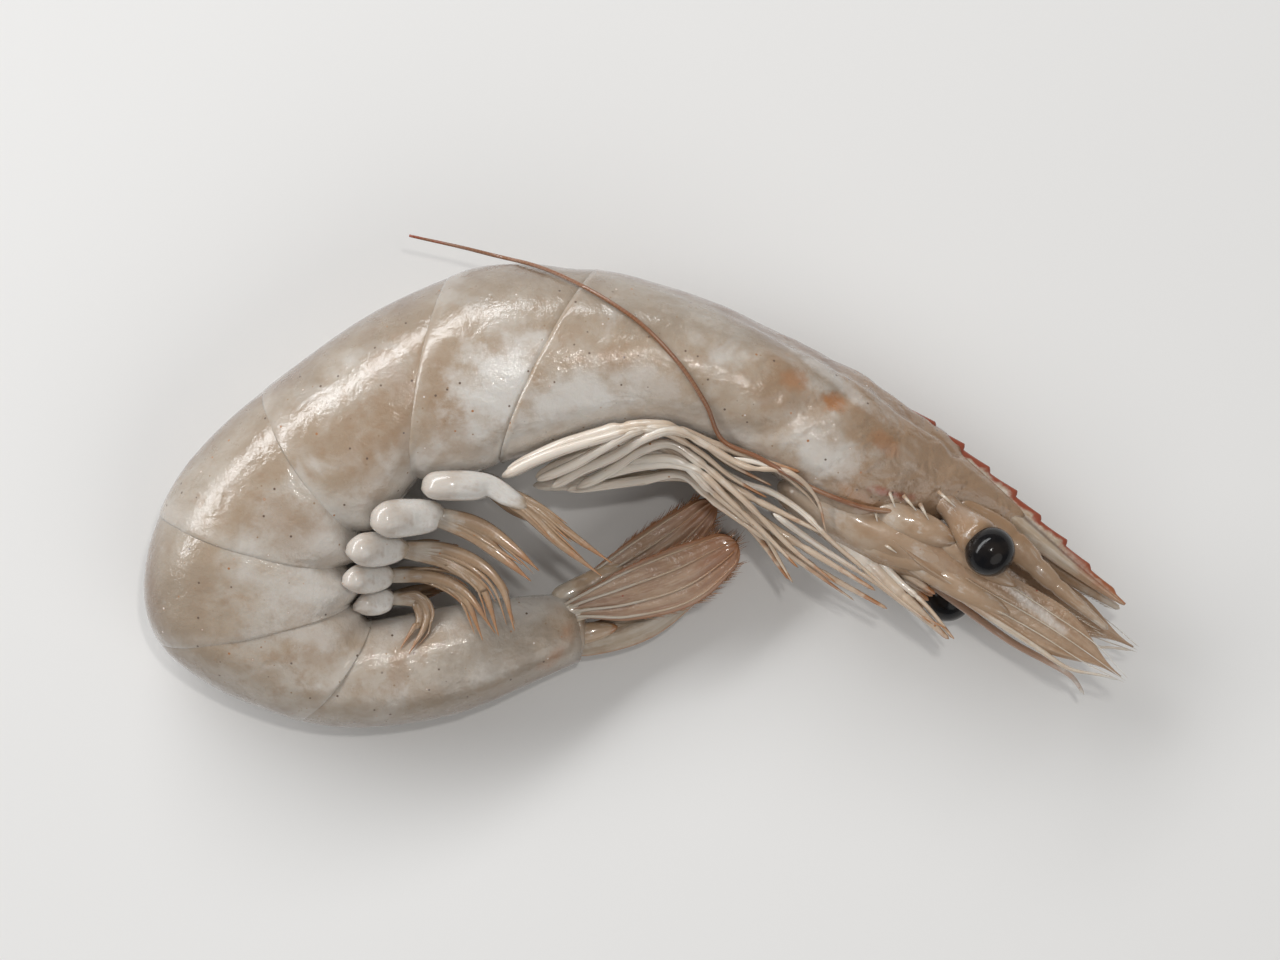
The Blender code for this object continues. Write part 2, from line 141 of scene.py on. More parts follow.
def unevenness(angle, along, cells):
    """Noise on the skin of a swept piece, the same on both sides of its seam."""
    return noise.noise(Vector((math.cos(angle) * cells, math.sin(angle) * cells, along)))


def heading(rows, i, axes=2):
    """Direction along the rows at row i, in plan or with three axes in space."""
    before, after = rows[max(i - 1, 0)], rows[min(i + 1, len(rows) - 1)]
    return (Vector(after[:axes]) - Vector(before[:axes])).normalized()


def mirrored(rows):
    """Rows of the right side, moved to the same place on the left side."""
    return [(x, y, 2 * MIDDLE - z, wide, thick) for x, y, z, wide, thick in rows]


# Node trees


class Tree:
    """Short ways to make the nodes of one material."""

    def __init__(self, name):
        self.material = bpy.data.materials.new(name)
        self.material.use_nodes = True
        self.nodes = self.material.node_tree.nodes
        self.links = self.material.node_tree.links
        self.shader = self.nodes["Principled BSDF"]
        self.position = self.add("ShaderNodeTexCoord").outputs["Object"]
        self.colour = WHITE

    def add(self, kind, values=(), **settings):
        """A node with settings, and inputs by name or number."""
        made = self.nodes.new(kind)
        for key, value in settings.items():
            setattr(made, key, value)
        for key, value in dict(values).items():
            self.put(made.inputs[key], value)
        return made

    def put(self, socket, value):
        """Links a socket, or sets its value."""
        if isinstance(value, bpy.types.NodeSocket):
            self.links.new(value, socket)
        else:
            socket.default_value = value

    def noise(self, scale, detail=3.0, rough=0.55, warp=0.0):
        """Noise of about this many cells per millimetre, as a number."""
        values = {"Vector": self.position, "Scale": scale * 1000, "Detail": detail}
        values |= {"Roughness": rough, "Distortion": warp}
        return self.add("ShaderNodeTexNoise", values).outputs[0]

    def span(self, value, low, high, to_low=0.0, to_high=1.0):
        """The value moved smoothly from one range to another."""
        values = {0: value, 1: low, 2: high, 3: to_low, 4: to_high}
        made = self.add("ShaderNodeMapRange", values, interpolation_type="SMOOTHSTEP")
        return made.outputs[0]

    def maths(self, operation, a, b=0.0):
        """A sum on one or two numbers."""
        made = self.add("ShaderNodeMath", {0: a, 1: b}, operation=operation)
        return made.outputs[0]

    def paint(self, factor, tint):
        """Mixes a tint into the colour so far."""
        made = self.add("ShaderNodeMix", data_type="RGBA", blend_type="MIX")
        self.put(made.inputs[0], factor)
        for index, colour in ((6, self.colour), (7, tint)):
            self.put(made.inputs[index], (*colour, 1.0) if isinstance(colour, tuple) else colour)
        self.colour = made.outputs[2]

    def tint(self, tint, value, low, high, amount=1.0):
        """Mixes in so much of a tint as the value goes from low to high."""
        self.paint(self.span(value, low, high, 0.0, amount), tint)

    def ragged(self, value, noise_value, amount):
        """The value, moved up and down by noise."""
        return self.maths("ADD", value, self.span(noise_value, 0.3, 0.7, -amount, amount))

    def specks(self, tint, cell, size, share):
        """Scattered small spots, in millimetres. Share is how many cells have one."""
        voronoi = self.add("ShaderNodeTexVoronoi", {"Vector": self.position, "Scale": 1000 / cell})
        spot = self.span(voronoi.outputs["Distance"], size / cell * 0.5, size / cell, 1.0, 0.0)
        chance = self.add("ShaderNodeSeparateXYZ", {0: voronoi.outputs["Color"]}).outputs[0]
        chosen = self.span(chance, 1 - share - 0.02, 1 - share)
        self.paint(self.maths("MULTIPLY", spot, chosen), tint)

    def patch(self, tint, spot, strength):
        """A soft, ragged patch. Spot is x, y, radius along, radius across, turn."""
        x, y, along, across, turn = spot
        away = self.stretched(place(x, y, MIDDLE * 1.6), (along, across, 14.0), turn)
        away = self.ragged(away, self.noise(0.4, 5.0, 0.65), 0.4)
        self.paint(self.span(away, 0.3, 1.4, strength, 0.0), tint)

    def grain(self, lengthwise, around):
        """Noise drawn out along a swept piece, from its UV map."""
        u, v = self.uv()
        parts = {0: self.maths("MULTIPLY", u, lengthwise), 1: self.maths("MULTIPLY", v, around)}
        joined = self.add("ShaderNodeCombineXYZ", parts).outputs[0]
        values = {"Vector": joined, "Scale": 1.0, "Detail": 4.0, "Roughness": 0.6}
        return self.add("ShaderNodeTexNoise", values).outputs[0]

    def stretched(self, centre, radii, turn):
        """Distance from a centre in radii, with the plan turned by some degrees."""
        shifted = self.add("ShaderNodeVectorMath", {0: self.position, 1: centre}, operation="SUBTRACT")
        turned = self.add(
            "ShaderNodeVectorRotate",
            {"Vector": shifted.outputs[0], "Angle": -math.radians(turn)},
            rotation_type="Z_AXIS",
        )
        scale = tuple(1 / (radius * MM) for radius in radii)
        scaled = self.add("ShaderNodeVectorMath", {0: turned.outputs[0], 1: scale}, operation="MULTIPLY")
        length = self.add("ShaderNodeVectorMath", {0: scaled.outputs[0]}, operation="LENGTH")
        return length.outputs["Value"]

    def uv(self):
        """(along, around) of a swept or lofted piece."""
        parts = self.add("ShaderNodeSeparateXYZ", {0: self.add("ShaderNodeUVMap").outputs[0]})
        return parts.outputs[0], parts.outputs[1]

    def bump(self, height, distance, below=None):
        """A bump of this many millimetres, laid over the one below."""
        values = {"Height": height, "Distance": distance * MM, "Strength": 1.0}
        made = self.add("ShaderNodeBump", values)
        if below:
            self.links.new(below, made.inputs["Normal"])
        return made.outputs[0]

    def wet(self, roughness, normal, coat=1.0, coat_roughness=0.07, scatter=0.0, reach=1.2):
        """Joins colour, roughness and bumps to a shader set to wet flesh or shell. Returns the
        material."""
        values = {
            "IOR": 1.45,
            "Coat Weight": coat,
            "Coat Roughness": coat_roughness,
            "Coat IOR": 1.36,
            "Subsurface Weight": scatter,
            "Subsurface Radius": (1.0, 0.62, 0.42),
            "Subsurface Scale": reach * MM,
        }
        for key, value in values.items():
            self.shader.inputs[key].default_value = value
        for key, value in (("Base Color", self.colour), ("Roughness", roughness), ("Normal", normal)):
            self.put(self.shader.inputs[key], value)
        return self.material


WHITE = (0.65, 0.615, 0.57)
PALE = (0.50, 0.43, 0.35)
BEIGE = (0.41, 0.32, 0.23)
BROWN = (0.31, 0.19, 0.105)
TAWNY = (0.38, 0.165, 0.06)
RUST = (0.26, 0.045, 0.015)
GREY = (0.28, 0.225, 0.17)
# Painted shade for the rostrum's groove.
GROOVE_SHADE = (0.11, 0.065, 0.04)


def shell_material(name, patches, back_line=0.4, band=1.0, wrinkles=0.0, front=0.0):
    """Wet shell with flesh showing through: cloudy, specked, darker on the back (partly its own tone, partly
    painted shade), pale low down.
    """
    tree = Tree(name)
    along, around = tree.uv()
    away = tree.maths("ABSOLUTE", tree.maths("SUBTRACT", around, 0.5))  # 0 on the back
    cloud = tree.noise(0.12, 4.0, 0.55, 0.4)
    tree.colour = (0.385, 0.29, 0.205)
    tree.tint((0.49, 0.425, 0.355), cloud, 0.40, 0.62)
    fine = tree.noise(0.55, 5.0, 0.65)
    tree.tint(BROWN, fine, 0.48, 0.72, 0.5)
    milky = tree.noise(0.19, 3.0, 0.5, 0.8)
    tree.tint(WHITE, milky, 0.52, 0.72, 0.55)
    wander = tree.ragged(away, cloud, 0.03)
    # A grey band along the back, partly the shell's own darker tone and partly painted shade, then a dark
    # rim at the back edge, which is painted shade.
    tree.tint(GREY, wander, 0.2, 0.07, 0.8)
    tree.tint((0.17, 0.085, 0.045) if front else (0.16, 0.095, 0.055), wander, 0.11, 0.01, 0.85)
    tree.tint(WHITE, wander, 0.27, 0.42, 0.7)
    if front:
        tree.tint(BROWN, tree.ragged(along, milky, 0.12), 0.52, 0.08, front)
    for tint, spot, strength in patches:
        tree.patch(tint, spot, strength)
    edge = tree.ragged(along, fine, 0.03)
    pale = tree.maths("MULTIPLY", tree.span(edge, 0.88, 1.0), tree.span(away, 0.34, 0.14, 0.1, 0.28))
    pale = tree.maths("MULTIPLY", pale, tree.span(cloud, 0.35, 0.6, 0.35, 1.0))
    tree.paint(tree.maths("MULTIPLY", pale, band), WHITE)
    line = tree.ragged(away, fine, 0.005)
    strength = tree.span(along, 0.7, 0.25, 0.3, back_line)
    redder = tree.maths("MULTIPLY", tree.span(line, 0.014 if front else 0.008, 0.001), strength)
    tree.paint(redder, (0.14, 0.035, 0.015))
    tree.specks(TAWNY, 1.7, 0.17, 0.5)
    tree.specks((0.12, 0.075, 0.05), 1.5, 0.16, 0.75)
    tree.specks((0.3, 0.2, 0.12), 1.3, 0.13, 0.5)
    tree.specks(WHITE, 1.7, 0.14, 0.35)
    roughness = tree.span(fine, 0.3, 0.7, 0.24, 0.4)
    ridges = tree.bump(tree.noise(1.8, 4.0, 0.65), 0.055)
    waves = tree.bump(tree.noise(0.36, 3.0, 0.5, 0.6), 0.17, ridges)
    if wrinkles:
        creases = tree.noise(0.42, 2.0, 0.5, 0.5)
        height = tree.maths("MULTIPLY", creases, tree.span(along, 0.8, 0.2, 0.08, 1.0))
        waves = tree.bump(height, wrinkles, waves)
    tree.wet(roughness, waves, scatter=0.18, reach=1.4)
    tree.put(tree.shader.inputs["Coat Normal"], waves)
    tree.shader.inputs["Coat IOR"].default_value = 1.5
    return tree.material


def limb_material(name, root, middle, tip, tip_from=0.72, streaks=0.5, ribs=0.0, turn=0.35):
    """Wet limb whose colour runs from root to tip, streaked lengthwise."""
    tree = Tree(name)
    along, _ = tree.uv()
    wander = tree.ragged(along, tree.noise(0.4, 3.0), 0.1)
    tree.colour = root
    tree.tint(middle, wander, turn - 0.12, turn + 0.12)
    tree.tint(tip, wander, tip_from, 1.0)
    streak = tree.grain(5.0, 7.0)
    tree.tint(BROWN, streak, 0.48, 0.7, streaks)
    tree.tint(WHITE, streak, 0.46, 0.3, 0.45)
    tree.specks(TAWNY, 1.6, 0.16, 0.4)
    if ribs:
        wave = tree.maths("SINE", tree.maths("MULTIPLY", along, ribs * math.tau))
        later = tree.span(along, 0.3, 0.5)
        tree.paint(tree.maths("MULTIPLY", tree.span(wave, 0.3, 1.0, 0.0, 0.4), later), BROWN)
    roughness = tree.span(streak, 0.3, 0.7, 0.22, 0.4)
    return tree.wet(roughness, tree.bump(tree.noise(1.3), 0.05), scatter=0.15, reach=0.8)


def blade_material(name, core, vein, rim, veins, rim_from=0.72, rim_width=0.86, painted_highlight=None):
    """Thin blade: a darker web, paler veins along it, a coloured rim and tip, and an optional painted
    highlight.
    """
    tree = Tree(name)
    along, around = tree.uv()
    side = tree.maths("COSINE", tree.maths("MULTIPLY", around, math.tau))
    across = tree.maths("ABSOLUTE", side)
    lines = tree.maths("SINE", tree.maths("MULTIPLY", side, veins * math.pi))
    wobble = tree.ragged(lines, tree.noise(0.8), 0.7)
    streak = tree.grain(2.5, 16.0)
    tree.colour = core
    tree.tint(vein, streak, 0.42, 0.62, 0.8)
    tree.tint(vein, wobble, 0.3, 1.2, 0.4)
    tree.tint(BROWN, tree.noise(0.3, 4.0, 0.6), 0.5, 0.7, 0.55)
    tree.tint(rim, across, rim_width, 1.0, 0.75)
    tree.tint(rim, along, rim_from, 1.0, 0.7)
    if painted_highlight:
        # Painted highlight: a pale patch along the blade's middle.
        tree.patch(WHITE, painted_highlight, 0.6)
    tree.specks(RUST, 1.5, 0.16, 0.35)
    relief = tree.bump(wobble, 0.035, tree.bump(streak, 0.06))
    return tree.wet(0.28, relief, coat_roughness=0.1, scatter=0.12, reach=0.7)


def eye_material():
    """Glossy black eye with very fine facets and a warm brown bloom."""
    tree = Tree("eye_glossy_black")
    facets = tree.add("ShaderNodeTexVoronoi", {"Vector": tree.position, "Scale": 5200.0})
    tree.colour = (0.004, 0.004, 0.005)
    tree.tint((0.018, 0.014, 0.012), tree.noise(0.4, 2.0), 0.4, 0.7)
    relief = tree.bump(facets.outputs["Distance"], 0.012)
    tree.wet(0.14, relief, coat=0.75, coat_roughness=0.03)
    tree.shader.inputs["Coat IOR"].default_value = 1.28
    tree.shader.inputs["Specular IOR Level"].default_value = 0.08
    return tree.material


# Meshes


def solid(name, bodies, material, nodes=(), alongs=None):
    """One smooth object of closed bodies, in the place of its nodes. A body is a list of rings
    of points, and the UV map holds (along, around)."""
    vertices, faces, corners = [], [], []
    for rings in bodies:
        count, last = len(rings[0]), len(rings) - 1
        at = alongs or shares(len(rings))
        first = len(vertices)
        vertices += [point for ring in rings for point in ring]
        near = len(vertices)
        vertices += [sum(ring, Vector()) / count for ring in (rings[0], rings[-1])]
        far = first + last * count
        for k in range(count):
            m = (k + 1) % count
            v, w = k / count, (k + 1) / count
            for i in range(last):
                a, b = first + i * count + k, first + i * count + m
                faces.append((a, b, b + count, a + count))
                corners += [(at[i], v), (at[i], w), (at[i + 1], w), (at[i + 1], v)]
            faces.append((first + m, first + k, near))
            corners += [(at[0], w), (at[0], v), (at[0], v)]
            faces.append((far + k, far + m, near + 1))
            corners += [(at[-1], v), (at[-1], w), (at[-1], v)]
    mesh = bpy.data.meshes.new(name)
    mesh.from_pydata(vertices, [], faces)
    layer = mesh.uv_layers.new(name="UVMap")
    for loop, corner in zip(layer.data, corners):
        loop.uv = corner
    bm = bmesh.new()
    bm.from_mesh(mesh)
    bmesh.ops.recalc_face_normals(bm, faces=bm.faces)
    bm.to_mesh(mesh)
    bm.free()
    mesh.shade_smooth()
    mesh.materials.append(material)
    piece = bpy.data.objects.new(name, mesh)
    bpy.context.scene.collection.objects.link(piece)
    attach(piece, "root")
    if nodes:
        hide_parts(*nodes)
    return piece


def ring_points(row, height, hollow, size=1.0, lift=None, way=None, bow=0.0, lowest=0.01):
    """Points round one body ring, whose belly is hollow. Lift is a function of the angle that
    gives millimetres out, bow moves the sides along the way by so many millimetres, and no
    point is below the lowest."""
    back, belly, half_width = Vector(row[0:2]), Vector(row[2:4]), row[4]
    centre, half_depth = (back + belly) / 2, (back - belly).length / 2
    u = (back - belly).normalized()
    points = []
    for k in range(AROUND):
        # the seam lies along the belly, so that the back is at half way round
        angle = (k / AROUND + 0.5) * math.tau
        c, s = math.cos(angle), math.sin(angle)
        deep = math.copysign(abs(c) ** SQUARENESS, c)
        wide = math.copysign(abs(s) ** SQUARENESS, s)
        if deep < 0:
            deep += hollow * bell(wide, 0.4)
        out = lift(angle) if lift else 0.0
        plan = centre + u * (deep * half_depth * size + c * out)
        if way:
            plan += way * bow * abs(s) ** 1.5
        z = height + wide * half_width * size + s * out
        points.append(place(plan.x, plan.y, max(z, lowest)))
    return points


def lowered(row, drop):
    """The body ring with its belly point so many millimetres further out."""
    reach = Vector((row[2] - row[0], row[3] - row[1])).normalized()
    return [row[0], row[1], row[2] + reach.x * drop, row[3] + reach.y * drop, row[4]]


def sweep_rings(rows, sides, folds=None):
    """Rings along rows x, y, z, half width, half thickness. Folds is a function of share and
    angle that gives millimetres up."""
    points = [place(*row[:3]) for row in rows]
    rings = []
    for i, (share, row) in enumerate(zip(shares(len(rows)), rows)):
        way = heading(points, i, 3)
        across = way.cross(Vector((0, 0, 1))).normalized()
        thick = across.cross(way).normalized()
        ring = []
        for k in range(sides):
            angle = k * math.tau / sides
            extra = folds(share, angle) if folds else 0.0
            c, s = math.cos(angle), math.sin(angle)
            ring.append(points[i] + (across * c * row[3] + thick * (s * row[4] + extra)) * MM)
        rings.append(ring)
    return rings


def swept(name, rows, material, nodes=(), sides=16, folds=None):
    """A smooth limb or blade along rows x, y, z, half width, half thickness."""
    return solid(name, [sweep_rings(rows, sides, folds)], material, nodes)


def rounded(rows, start, end):
    """The rows, narrowed to round ends over these millimetres at the start and the end."""
    knots = plan_knots(rows)
    shaped = []
    for at, (x, y, z, wide, thick) in zip(knots, rows):
        near = min(at / start, 1.0)
        far = min((knots[-1] - at) / end, 1.0)
        size = max(math.sqrt(max(1 - (1 - near) ** 2, 0)) * math.sqrt(max(1 - (1 - far) ** 2, 0)), 0.12)
        shaped.append((x, y, z, wide * size, thick * size))
    return shaped


def laid_on(rows, solids, clearance, evening=6):
    """The rows x, y, z, half width, half thickness, raised to lie on the solids under them, and
    evened out so many times."""
    if not solids:
        return rows
    bpy.context.view_layer.update()
    graph = bpy.context.evaluated_depsgraph_get()
    trees = [BVHTree.FromObject(piece, graph) for piece in solids]
    raised = []
    for x, y, z, half_width, half_thickness in rows:
        for dx, dy in ((0, 0), (1, 0), (-1, 0), (0, 1), (0, -1)):
            reach = half_width + 0.1
            start = place(x + dx * reach, y + dy * reach, 60)
            for tree in trees:
                hit = tree.ray_cast(start, Vector((0, 0, -1)))[0]
                if hit:
                    z = max(z, hit.z / MM + clearance + half_thickness)
        raised.append([x, y, z, half_width, half_thickness])
    for _ in range(evening):
        for i in range(1, len(raised) - 1):
            mean = (raised[i - 1][2] + raised[i + 1][2]) / 2
            raised[i][2] = max(raised[i][2], mean)
    return raised


def hairs(name, strands, material, sides=3):
    """Many thin tapered hairs in one mesh. A strand is a list of points and a radius, in mm."""
    bodies = []
    for points, radius in strands:
        last = len(points) - 1
        sizes = [radius * (1 - 0.85 * i / last) for i in range(last + 1)]
        bodies.append(sweep_rings([(*point, r, r) for point, r in zip(points, sizes)], sides))
    solid(name, bodies, material)


def lumps(cells, along):
    """Folds of an uneven skin that evens out towards its end."""

    def fold(share, angle):
        uneven = unevenness(angle, share * along, cells) * 0.3 * (1 - share)
        return math.copysign(uneven, math.sin(angle))

    return fold


# Body

SEGMENT_STEPS = (  # share of the segment's length, share of its full size
    (-0.06, 0.94), (-0.02, 0.968), (0.02, 0.981), (0.07, 0.987), (0.14, 0.990), (0.23, 0.995),
    (0.33, 0.999), (0.45, 1.002), (0.57, 1.003), (0.69, 1.003), (0.80, 1.001), (0.89, 0.999),
    (0.95, 0.998), (1.0, 0.997), (1.04, 0.996), (1.065, 0.993), (1.075, 0.988), (1.07, 0.975),
)
BOW = 1.5  # how far the sides of a ring are drawn towards the tail
TAIL_END = ((0.3, 0.84), (0.55, 0.7), (0.75, 0.5), (0.85, 0.25))  # distance ahead, size
LOBES = (1.2, 1.7, 1.7, 1.5, 0.9, 0.0)  # millimetres that each ring hangs down over its root


def make_abdomen():
    """Six shell rings. The back edge of each overlaps the front of the next."""
    middles = [((a + c) / 2, (b + d) / 2) for a, b, c, d, _ in ABDOMEN_RINGS]
    knots = plan_knots(middles)
    ends = knots[:6] + [knots[-1]]

    def middle_at(at):
        row = hermite(knots, ABDOMEN_RINGS, at)
        return Vector(((row[0] + row[2]) / 2, (row[1] + row[3]) / 2))

    made = []
    for number, (start, end) in enumerate(zip(ends, ends[1:]), 1):
        rings = []
        for share, size in SEGMENT_STEPS:
            if number == 6:
                size -= 0.16 * max(share - 0.88, 0.0) + 3.0 * max(share - 1.04, 0.0)
            at = start + (end - start) * (min(share, 1.0) if number == 6 else share)
            way = (middle_at(at + 0.1) - middle_at(at - 0.1)).normalized()
            lobe = LOBES[number - 1] * math.sin(math.pi * min(max(share, 0), 1)) ** 0.8
            row = lowered(hermite(knots, ABDOMEN_RINGS, at), lobe + (0.5 if number < 5 else 0.0))

            def lift(angle, share=share, number=number):
                return unevenness(angle, share * 3 + number * 7, 2) * 0.16

            bow = BOW if number < 6 else BOW * (1 - 0.5 * max(share, 0.0))
            height = lying_height(row[4] * size)
            # the front of a ring passes inside the one before it
            lowest = 0.01 + 0.06 * step(0.16, 0.08, share)
            rings.append(ring_points(row, height, 0.2, size, lift, way, bow, lowest))
        along = [min(max(share, 0.0), 1.0) for share, _ in SEGMENT_STEPS]
        if number == 6:
            for ahead, size in TAIL_END:
                shifted = [row[c] + way[c % 2] * ahead for c in range(4)]
                rings.append(ring_points((*shifted, row[4]), height, 0.1, size, None, way, bow))
                along.append(1.0)
        material = shell_material(f"shell_ring_{number}", RING_PATCHES.get(number, ()))
        nodes = [f"abdomen_{number}"]
        made.append(solid(f"ring_{number}", [rings], material, nodes, along))
    return made


RING_PATCHES = {
    1: ((BROWN, (-18.6, 8.5, 2.6, 4.6, 0.0), 0.5), (WHITE, (-12.0, 10.4, 6.0, 5.0, 10.0), 0.95)),
    2: ((BROWN, (-22.5, 9.5, 4.2, 5.4, 20.0), 0.5), (BROWN, (-27.0, 4.0, 3.0, 4.0, 40.0), 0.3)),
    3: ((BROWN, (-33.5, -2.6, 5.2, 2.6, -20.0), 0.5), (WHITE, (-30.0, -4.4, 3.4, 1.6, 0.0), 0.5)),
    4: ((WHITE, (-31.5, -9.0, 5.6, 2.4, 10.0), 0.65), (GREY, (-42.0, -10.0, 3.4, 3.0, 0.0), 0.3)),
    5: ((WHITE, (-31.5, -13.4, 3.6, 1.6, 0.0), 0.5), (TAWNY, (-40.0, -11.6, 0.8, 0.4, 0.0), 0.7)),
    6: (
        (BROWN, (-23.4, -17.2, 1.0, 3.2, 0.0), 0.5),
        # Grey patch: partly ring 6's duller tone, partly painted shade laid where the fill light makes a
        # highlight.
        (GREY, (-13.0, -15.6, 8.0, 4.4, 15.0), 0.75),
        (WHITE, (-11.6, -10.4, 3.0, 1.6, 0.0), 0.6),
        (TAWNY, (-7.0, -12.6, 0.9, 1.5, 0.0), 0.65),
        (TAWNY, (-8.4, -15.6, 1.6, 0.7, 40.0), 0.5),
    ),
}


# Front of the shell, which runs out along the rostrum: distance ahead, depth, half width.
HOOD = (
    (9.6, 2.0, 0.25), (8.8, 2.6, 0.55), (7.6, 3.1, 0.9), (6.2, 3.8, 1.25), (4.9, 5.0, 1.75),
    (3.7, 5.9, 2.2), (2.6, 7.0, 2.65), (1.6, 8.3, 3.05), (0.8, 9.8, 3.35),
)


def make_carapace():
    """The head's shell, with a keel along its back and shallow grooves on its cheek."""
    steps = 70
    rings = []
    along = []
    rows = smooth_rows(CARAPACE_RINGS, steps)
    ridge = [Vector(spot) for spot in smooth_rows(ROSTRUM_BACK, 400)]
    front = Vector(rows[0][:2])
    first = min(range(400), key=lambda i: (ridge[i] - front).length)
    for ahead, depth, half_width in HOOD:
        i = first + round(ahead / (ridge[1] - ridge[0]).length)
        way = heading(ridge, i)
        inward = Vector((way.y, -way.x))
        back = ridge[i] + inward * 0.35
        rings.append(ring_points((*back, *(back + inward * depth), half_width), MIDDLE, 0.0))
        along.append(0.0)
    for i, row in enumerate(rows):
        share = i / (steps - 1)
        along.append(share)
        row[:] = lowered(row, 0.8 + 0.9 * step(0.6, 0.25, share))
        size = 1.0 - 0.07 * (1 - share) ** 8 - 0.012 * step(0.93, 1.0, share)
        j = min(max(i, 1), steps - 2)
        near, far = rows[j - 1], rows[j + 1]
        way = Vector(far[:2]) + Vector(far[2:4]) - Vector(near[:2]) - Vector(near[2:4])
        way.normalize()

        def lift(angle, share=share):
            from_back = abs(math.remainder(angle, math.tau))
            forward = 1 - share
            keel = 0.5 * forward * bell(from_back, 0.13)
            beside = -0.45 * forward * bell(from_back - 0.36, 0.13)
            at = share - 0.42 + 0.16 * math.cos(from_back)
            groove = -0.4 * bell(at, 0.035)
            groove *= step(0.5, 0.9, from_back) * step(2.6, 1.9, from_back)
            gill = -0.2 * bell(from_back - 1.25, 0.12) * step(0.4, 0.5, share)
            spine = 0.35 * bell(from_back - 1.75, 0.09) * step(0.34, 0.02, share)
            cheek = 0.3 * math.exp(-(((share - 0.25) / 0.12) ** 2 + ((from_back - 1.5) / 0.5) ** 2))
            spot = Vector((math.cos(angle) * 2.4, math.sin(angle) * 2.4, share * 9))
            rough = noise.noise(spot) * (0.14 + 0.2 * forward)
            fine = noise.noise(spot * 3.1) * 0.16 * forward
            return keel + beside + groove + gill + spine + cheek + rough + fine

        bow = BOW * step(0.55, 1.0, share)
        rings.append(ring_points(row, MIDDLE, 0.2, size, lift, way, bow))
    material = shell_material("shell_carapace", CARAPACE_PATCHES, 0.85, 0.3, 0.35, 0.85)
    return solid("head_shell", [rings], material, ["carapace"], along)


CARAPACE_PATCHES = (
    (WHITE, (-7.0, 9.5, 6.5, 2.6, 15.0), 0.7),
    (WHITE, (1.0, 10.8, 3.4, 2.0, 0.0), 0.45),
    (BROWN, (14.5, 10.5, 4.6, 3.4, -35.0), 0.6),
    (BROWN, (26.0, -0.5, 3.8, 2.2, -45.0), 0.55),
    (TAWNY, (18.9, 9.3, 1.5, 1.0, -40.0), 0.95),
    (TAWNY, (15.2, 11.2, 1.6, 0.9, -20.0), 0.55),
    (TAWNY, (24.0, 5.0, 2.0, 0.9, -40.0), 0.5),
    (RUST, (24.6, 0.4, 2.1, 0.5, -12.0), 0.8),
    (TAWNY, (21.0, 0.0, 2.2, 0.8, -30.0), 0.4),
    (BROWN, (-2.5, 13.4, 2.2, 1.4, 0.0), 0.4),
    (WHITE, (17.5, 4.6, 3.6, 2.2, -30.0), 0.6),
    (GREY, (1.0, 17.6, 8.0, 2.2, -14.0), 0.45),
    (WHITE, (19.6, 10.9, 6.4, 0.7, -38.0), 0.5),
)

ROSTRUM_BACK = ((12.0, 16.6), (20.0, 12.4), (27.9, 7.5), (35.4, 1.2), (42.0, -5.2), (47.4, -10.4))
ROSTRUM_DEPTH = 3.4
BLADE_FROM = 0.1  # share of its back where the blade begins
TEETH_FROM, TEETH_REACH = 0.36, 0.61  # share where the teeth begin, and how far they go
TEETH = (0.75, 1.0, 0.85, 1.1, 0.9, 1.15, 0.8, 0.65)  # how far each stands out


def make_rostrum():
    """The blade over the head, keeled along its side, with eight forward-leaning teeth."""
    count = 260
    ridge = [Vector(point) for point in smooth_rows(ROSTRUM_BACK, count)]
    rings = []
    for i in range(round(BLADE_FROM * count), count):
        way = heading(ridge, i)
        out = Vector((-way.y, way.x))
        share = i / (count - 1)
        end = (share - BLADE_FROM) / (1 - BLADE_FROM)
        depth = ROSTRUM_DEPTH * min(1.0, 0.35 + 4 * end, 2.1 * max(1 - share, 0) ** 0.8 + 0.05)
        rise, lean = 0.12, 0.0
        past = share - TEETH_FROM
        if 0 < past < TEETH_REACH:
            number, tooth = divmod(past / TEETH_REACH * len(TEETH), 1.0)
            peak = (tooth / 0.72) ** 1.5 if tooth < 0.72 else ((1 - tooth) / 0.28) ** 0.8
            size = (1 - 0.45 * past) * TEETH[int(number)]
            rise += 0.55 * size * peak
            lean = 0.75 * size * peak
        top = ridge[i] + out * rise + way * lean
        low = ridge[i] - out * depth
        thick = 0.72 * (1 - 0.6 * end)
        ring = []
        for k in range(28):
            angle = k / 28 * math.tau
            c, s = math.cos(angle), math.sin(angle)
            up = (c + 1) / 2
            base = low.lerp(ridge[i], 0.86)
            spot = base.lerp(top, (up - 0.8) / 0.2) if up > 0.8 else low.lerp(base, up / 0.8)
            keel = 1 + 0.55 * bell(up - 0.42, 0.13)
            keel -= 0.4 * bell(up - 0.68, 0.1)
            ring.append(place(spot.x, spot.y, MIDDLE + s * thick * keel))
        rings.append(ring)
    solid("rostrum_piece", [rings], rostrum_material(), ["carapace"])


